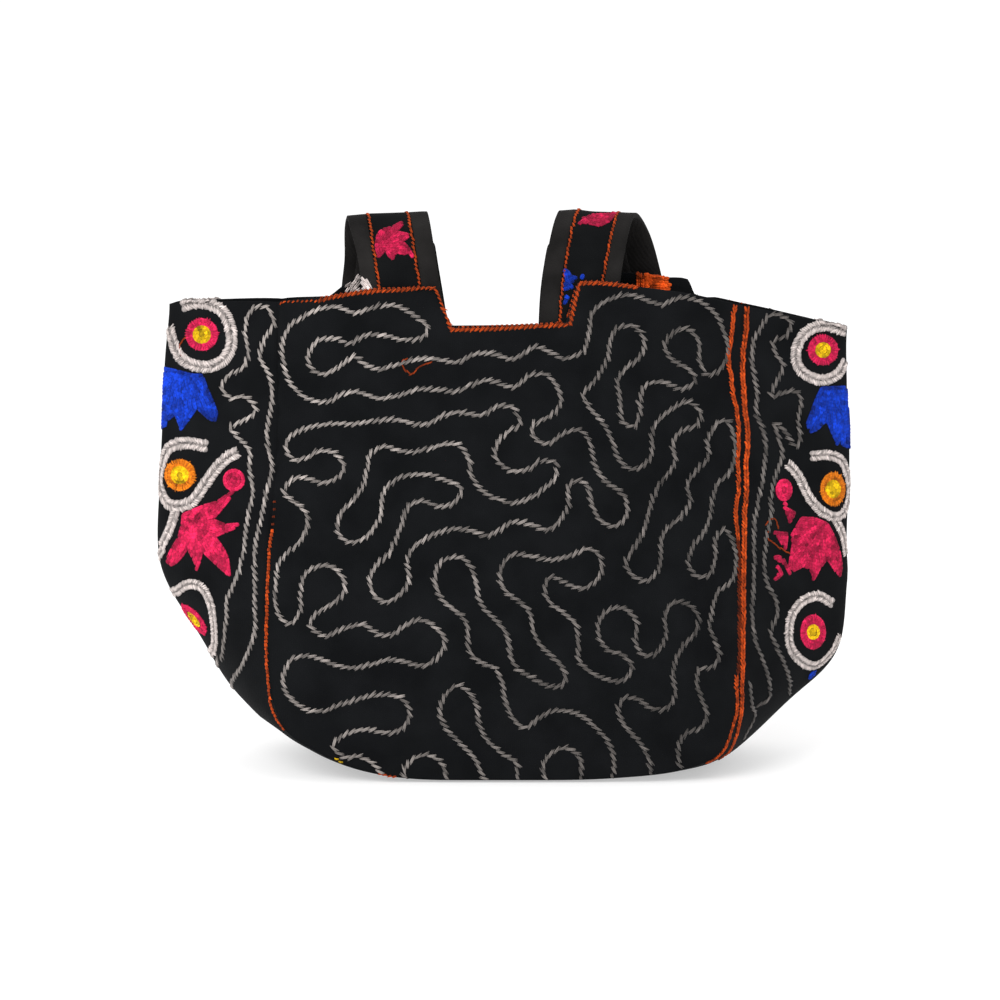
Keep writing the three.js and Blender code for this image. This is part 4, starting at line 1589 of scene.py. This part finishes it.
# %% Loose ends
BASE_YELLOW_PX = [(334, 758), (338, 760), (343, 763)]
BASE_ORANGE_PX = [(378, 773), (388, 776), (397, 777)]
LOOSE_PX = [
    [(431, 362), (420, 367), (413, 373), (409, 374), (404, 368), (402.5, 362), (407, 358)],
    [(766, 525), (770.5, 519), (775.5, 520), (778, 528.5)],
    [(769, 530), (767, 534), (769.5, 540), (776, 545), (783.5, 550.5), (789, 554)],
    [(187, 336), (183, 340), (179.5, 346), (181, 352), (182.5, 357)],
]
LOOSE = {
    "length": 4.0, "width": 0.55, "height": 0.6, "gap": 0.15, "splay": 1, "pitch": 2.2, "turn": 0,
    "tint": 0.42,
}
rope("base_yellow", FRONT, BASE_YELLOW_PX, FINE)
rope("small_ends", FRONT, BASE_ORANGE_PX, FINE)
for line in LOOSE_PX:
    rope("small_ends", FRONT, line, LOOSE)
PEEPING = {
    "inside_white": "white", "inside_orange": "orange", "base_yellow": "yellow", "small_ends": "orange",
}
for piece, thread in PEEPING.items():
    sew(piece, thread, BLUNT_STRAND)

# %% [markdown]
# ## How much cloth each piece takes
# The area of cloth in each piece is printed. The lining's cut is wider than the strap, because its edges
# are turned over.

for name, piece in handle_pieces.items():
    width = 0.023 if "band" in name else 0.064
for piece in (front_panel, back_panel, gusset, *handle_pieces.values()):
    area = sum(face.area for face in piece.data.polygons) / 2
    print(f"{piece.name}: {area * 1e4:.0f} square centimetres of cloth")

# %% [markdown]
# ## Studio
# The photograph has a white sweep and soft light from the upper left. A curved paper sweep with several
# lamps could be built, but a white world and a pale floor that glows a little, like a light table, give
# the same white, so the bag throws only a faint shadow. One large soft lamp in front on the left picks
# out the threads on that side.

# %% Floor
FLOOR_HALF = 6.0
floor_bm = bmesh.new()
bmesh.ops.create_grid(floor_bm, x_segments=1, y_segments=1, size=FLOOR_HALF)
floor_mesh = bpy.data.meshes.new("studio_floor")
floor_bm.to_mesh(floor_mesh)
floor_bm.free()
floor = add_object("studio_floor", floor_mesh)
floor_paint, _, _, floor_shader = start_finish("studio_floor")
set_sockets(
    floor_shader, Base_Color=(0.62, 0.62, 0.62, 1), Roughness=0.9, Specular_IOR_Level=0.1,
    Emission_Color=(1, 1, 1, 1), Emission_Strength=0.45)
floor_mesh.materials.append(floor_paint)
print(f"floor {2 * FLOOR_HALF:.0f} m across")

# %% Lamp and world
LAMP_PLACE, LAMP_AIM = Vector((-0.9, -1.5, 1.5)), Vector((-0.05, 0, 0.15))
lamp = bpy.data.lights.new("key_lamp", "AREA")
lamp.shape = "DISK"
lamp.size = 1.2
lamp.energy = 22
key_lamp = add_object("key_lamp", lamp)
key_lamp.location = LAMP_PLACE
key_lamp.rotation_mode = "QUATERNION"
key_lamp.rotation_quaternion = (LAMP_AIM - LAMP_PLACE).to_track_quat("-Z", "Y")
world = bpy.data.worlds.new("studio_white")
world.use_nodes = True
set_sockets(world.node_tree.nodes["Background"], Color=(1, 1, 1, 1), Strength=1.08)
bpy.context.scene.world = world
bpy.context.scene.view_settings.view_transform = "Standard"
print(f"lamp {(LAMP_AIM - LAMP_PLACE).length:.1f} m away")
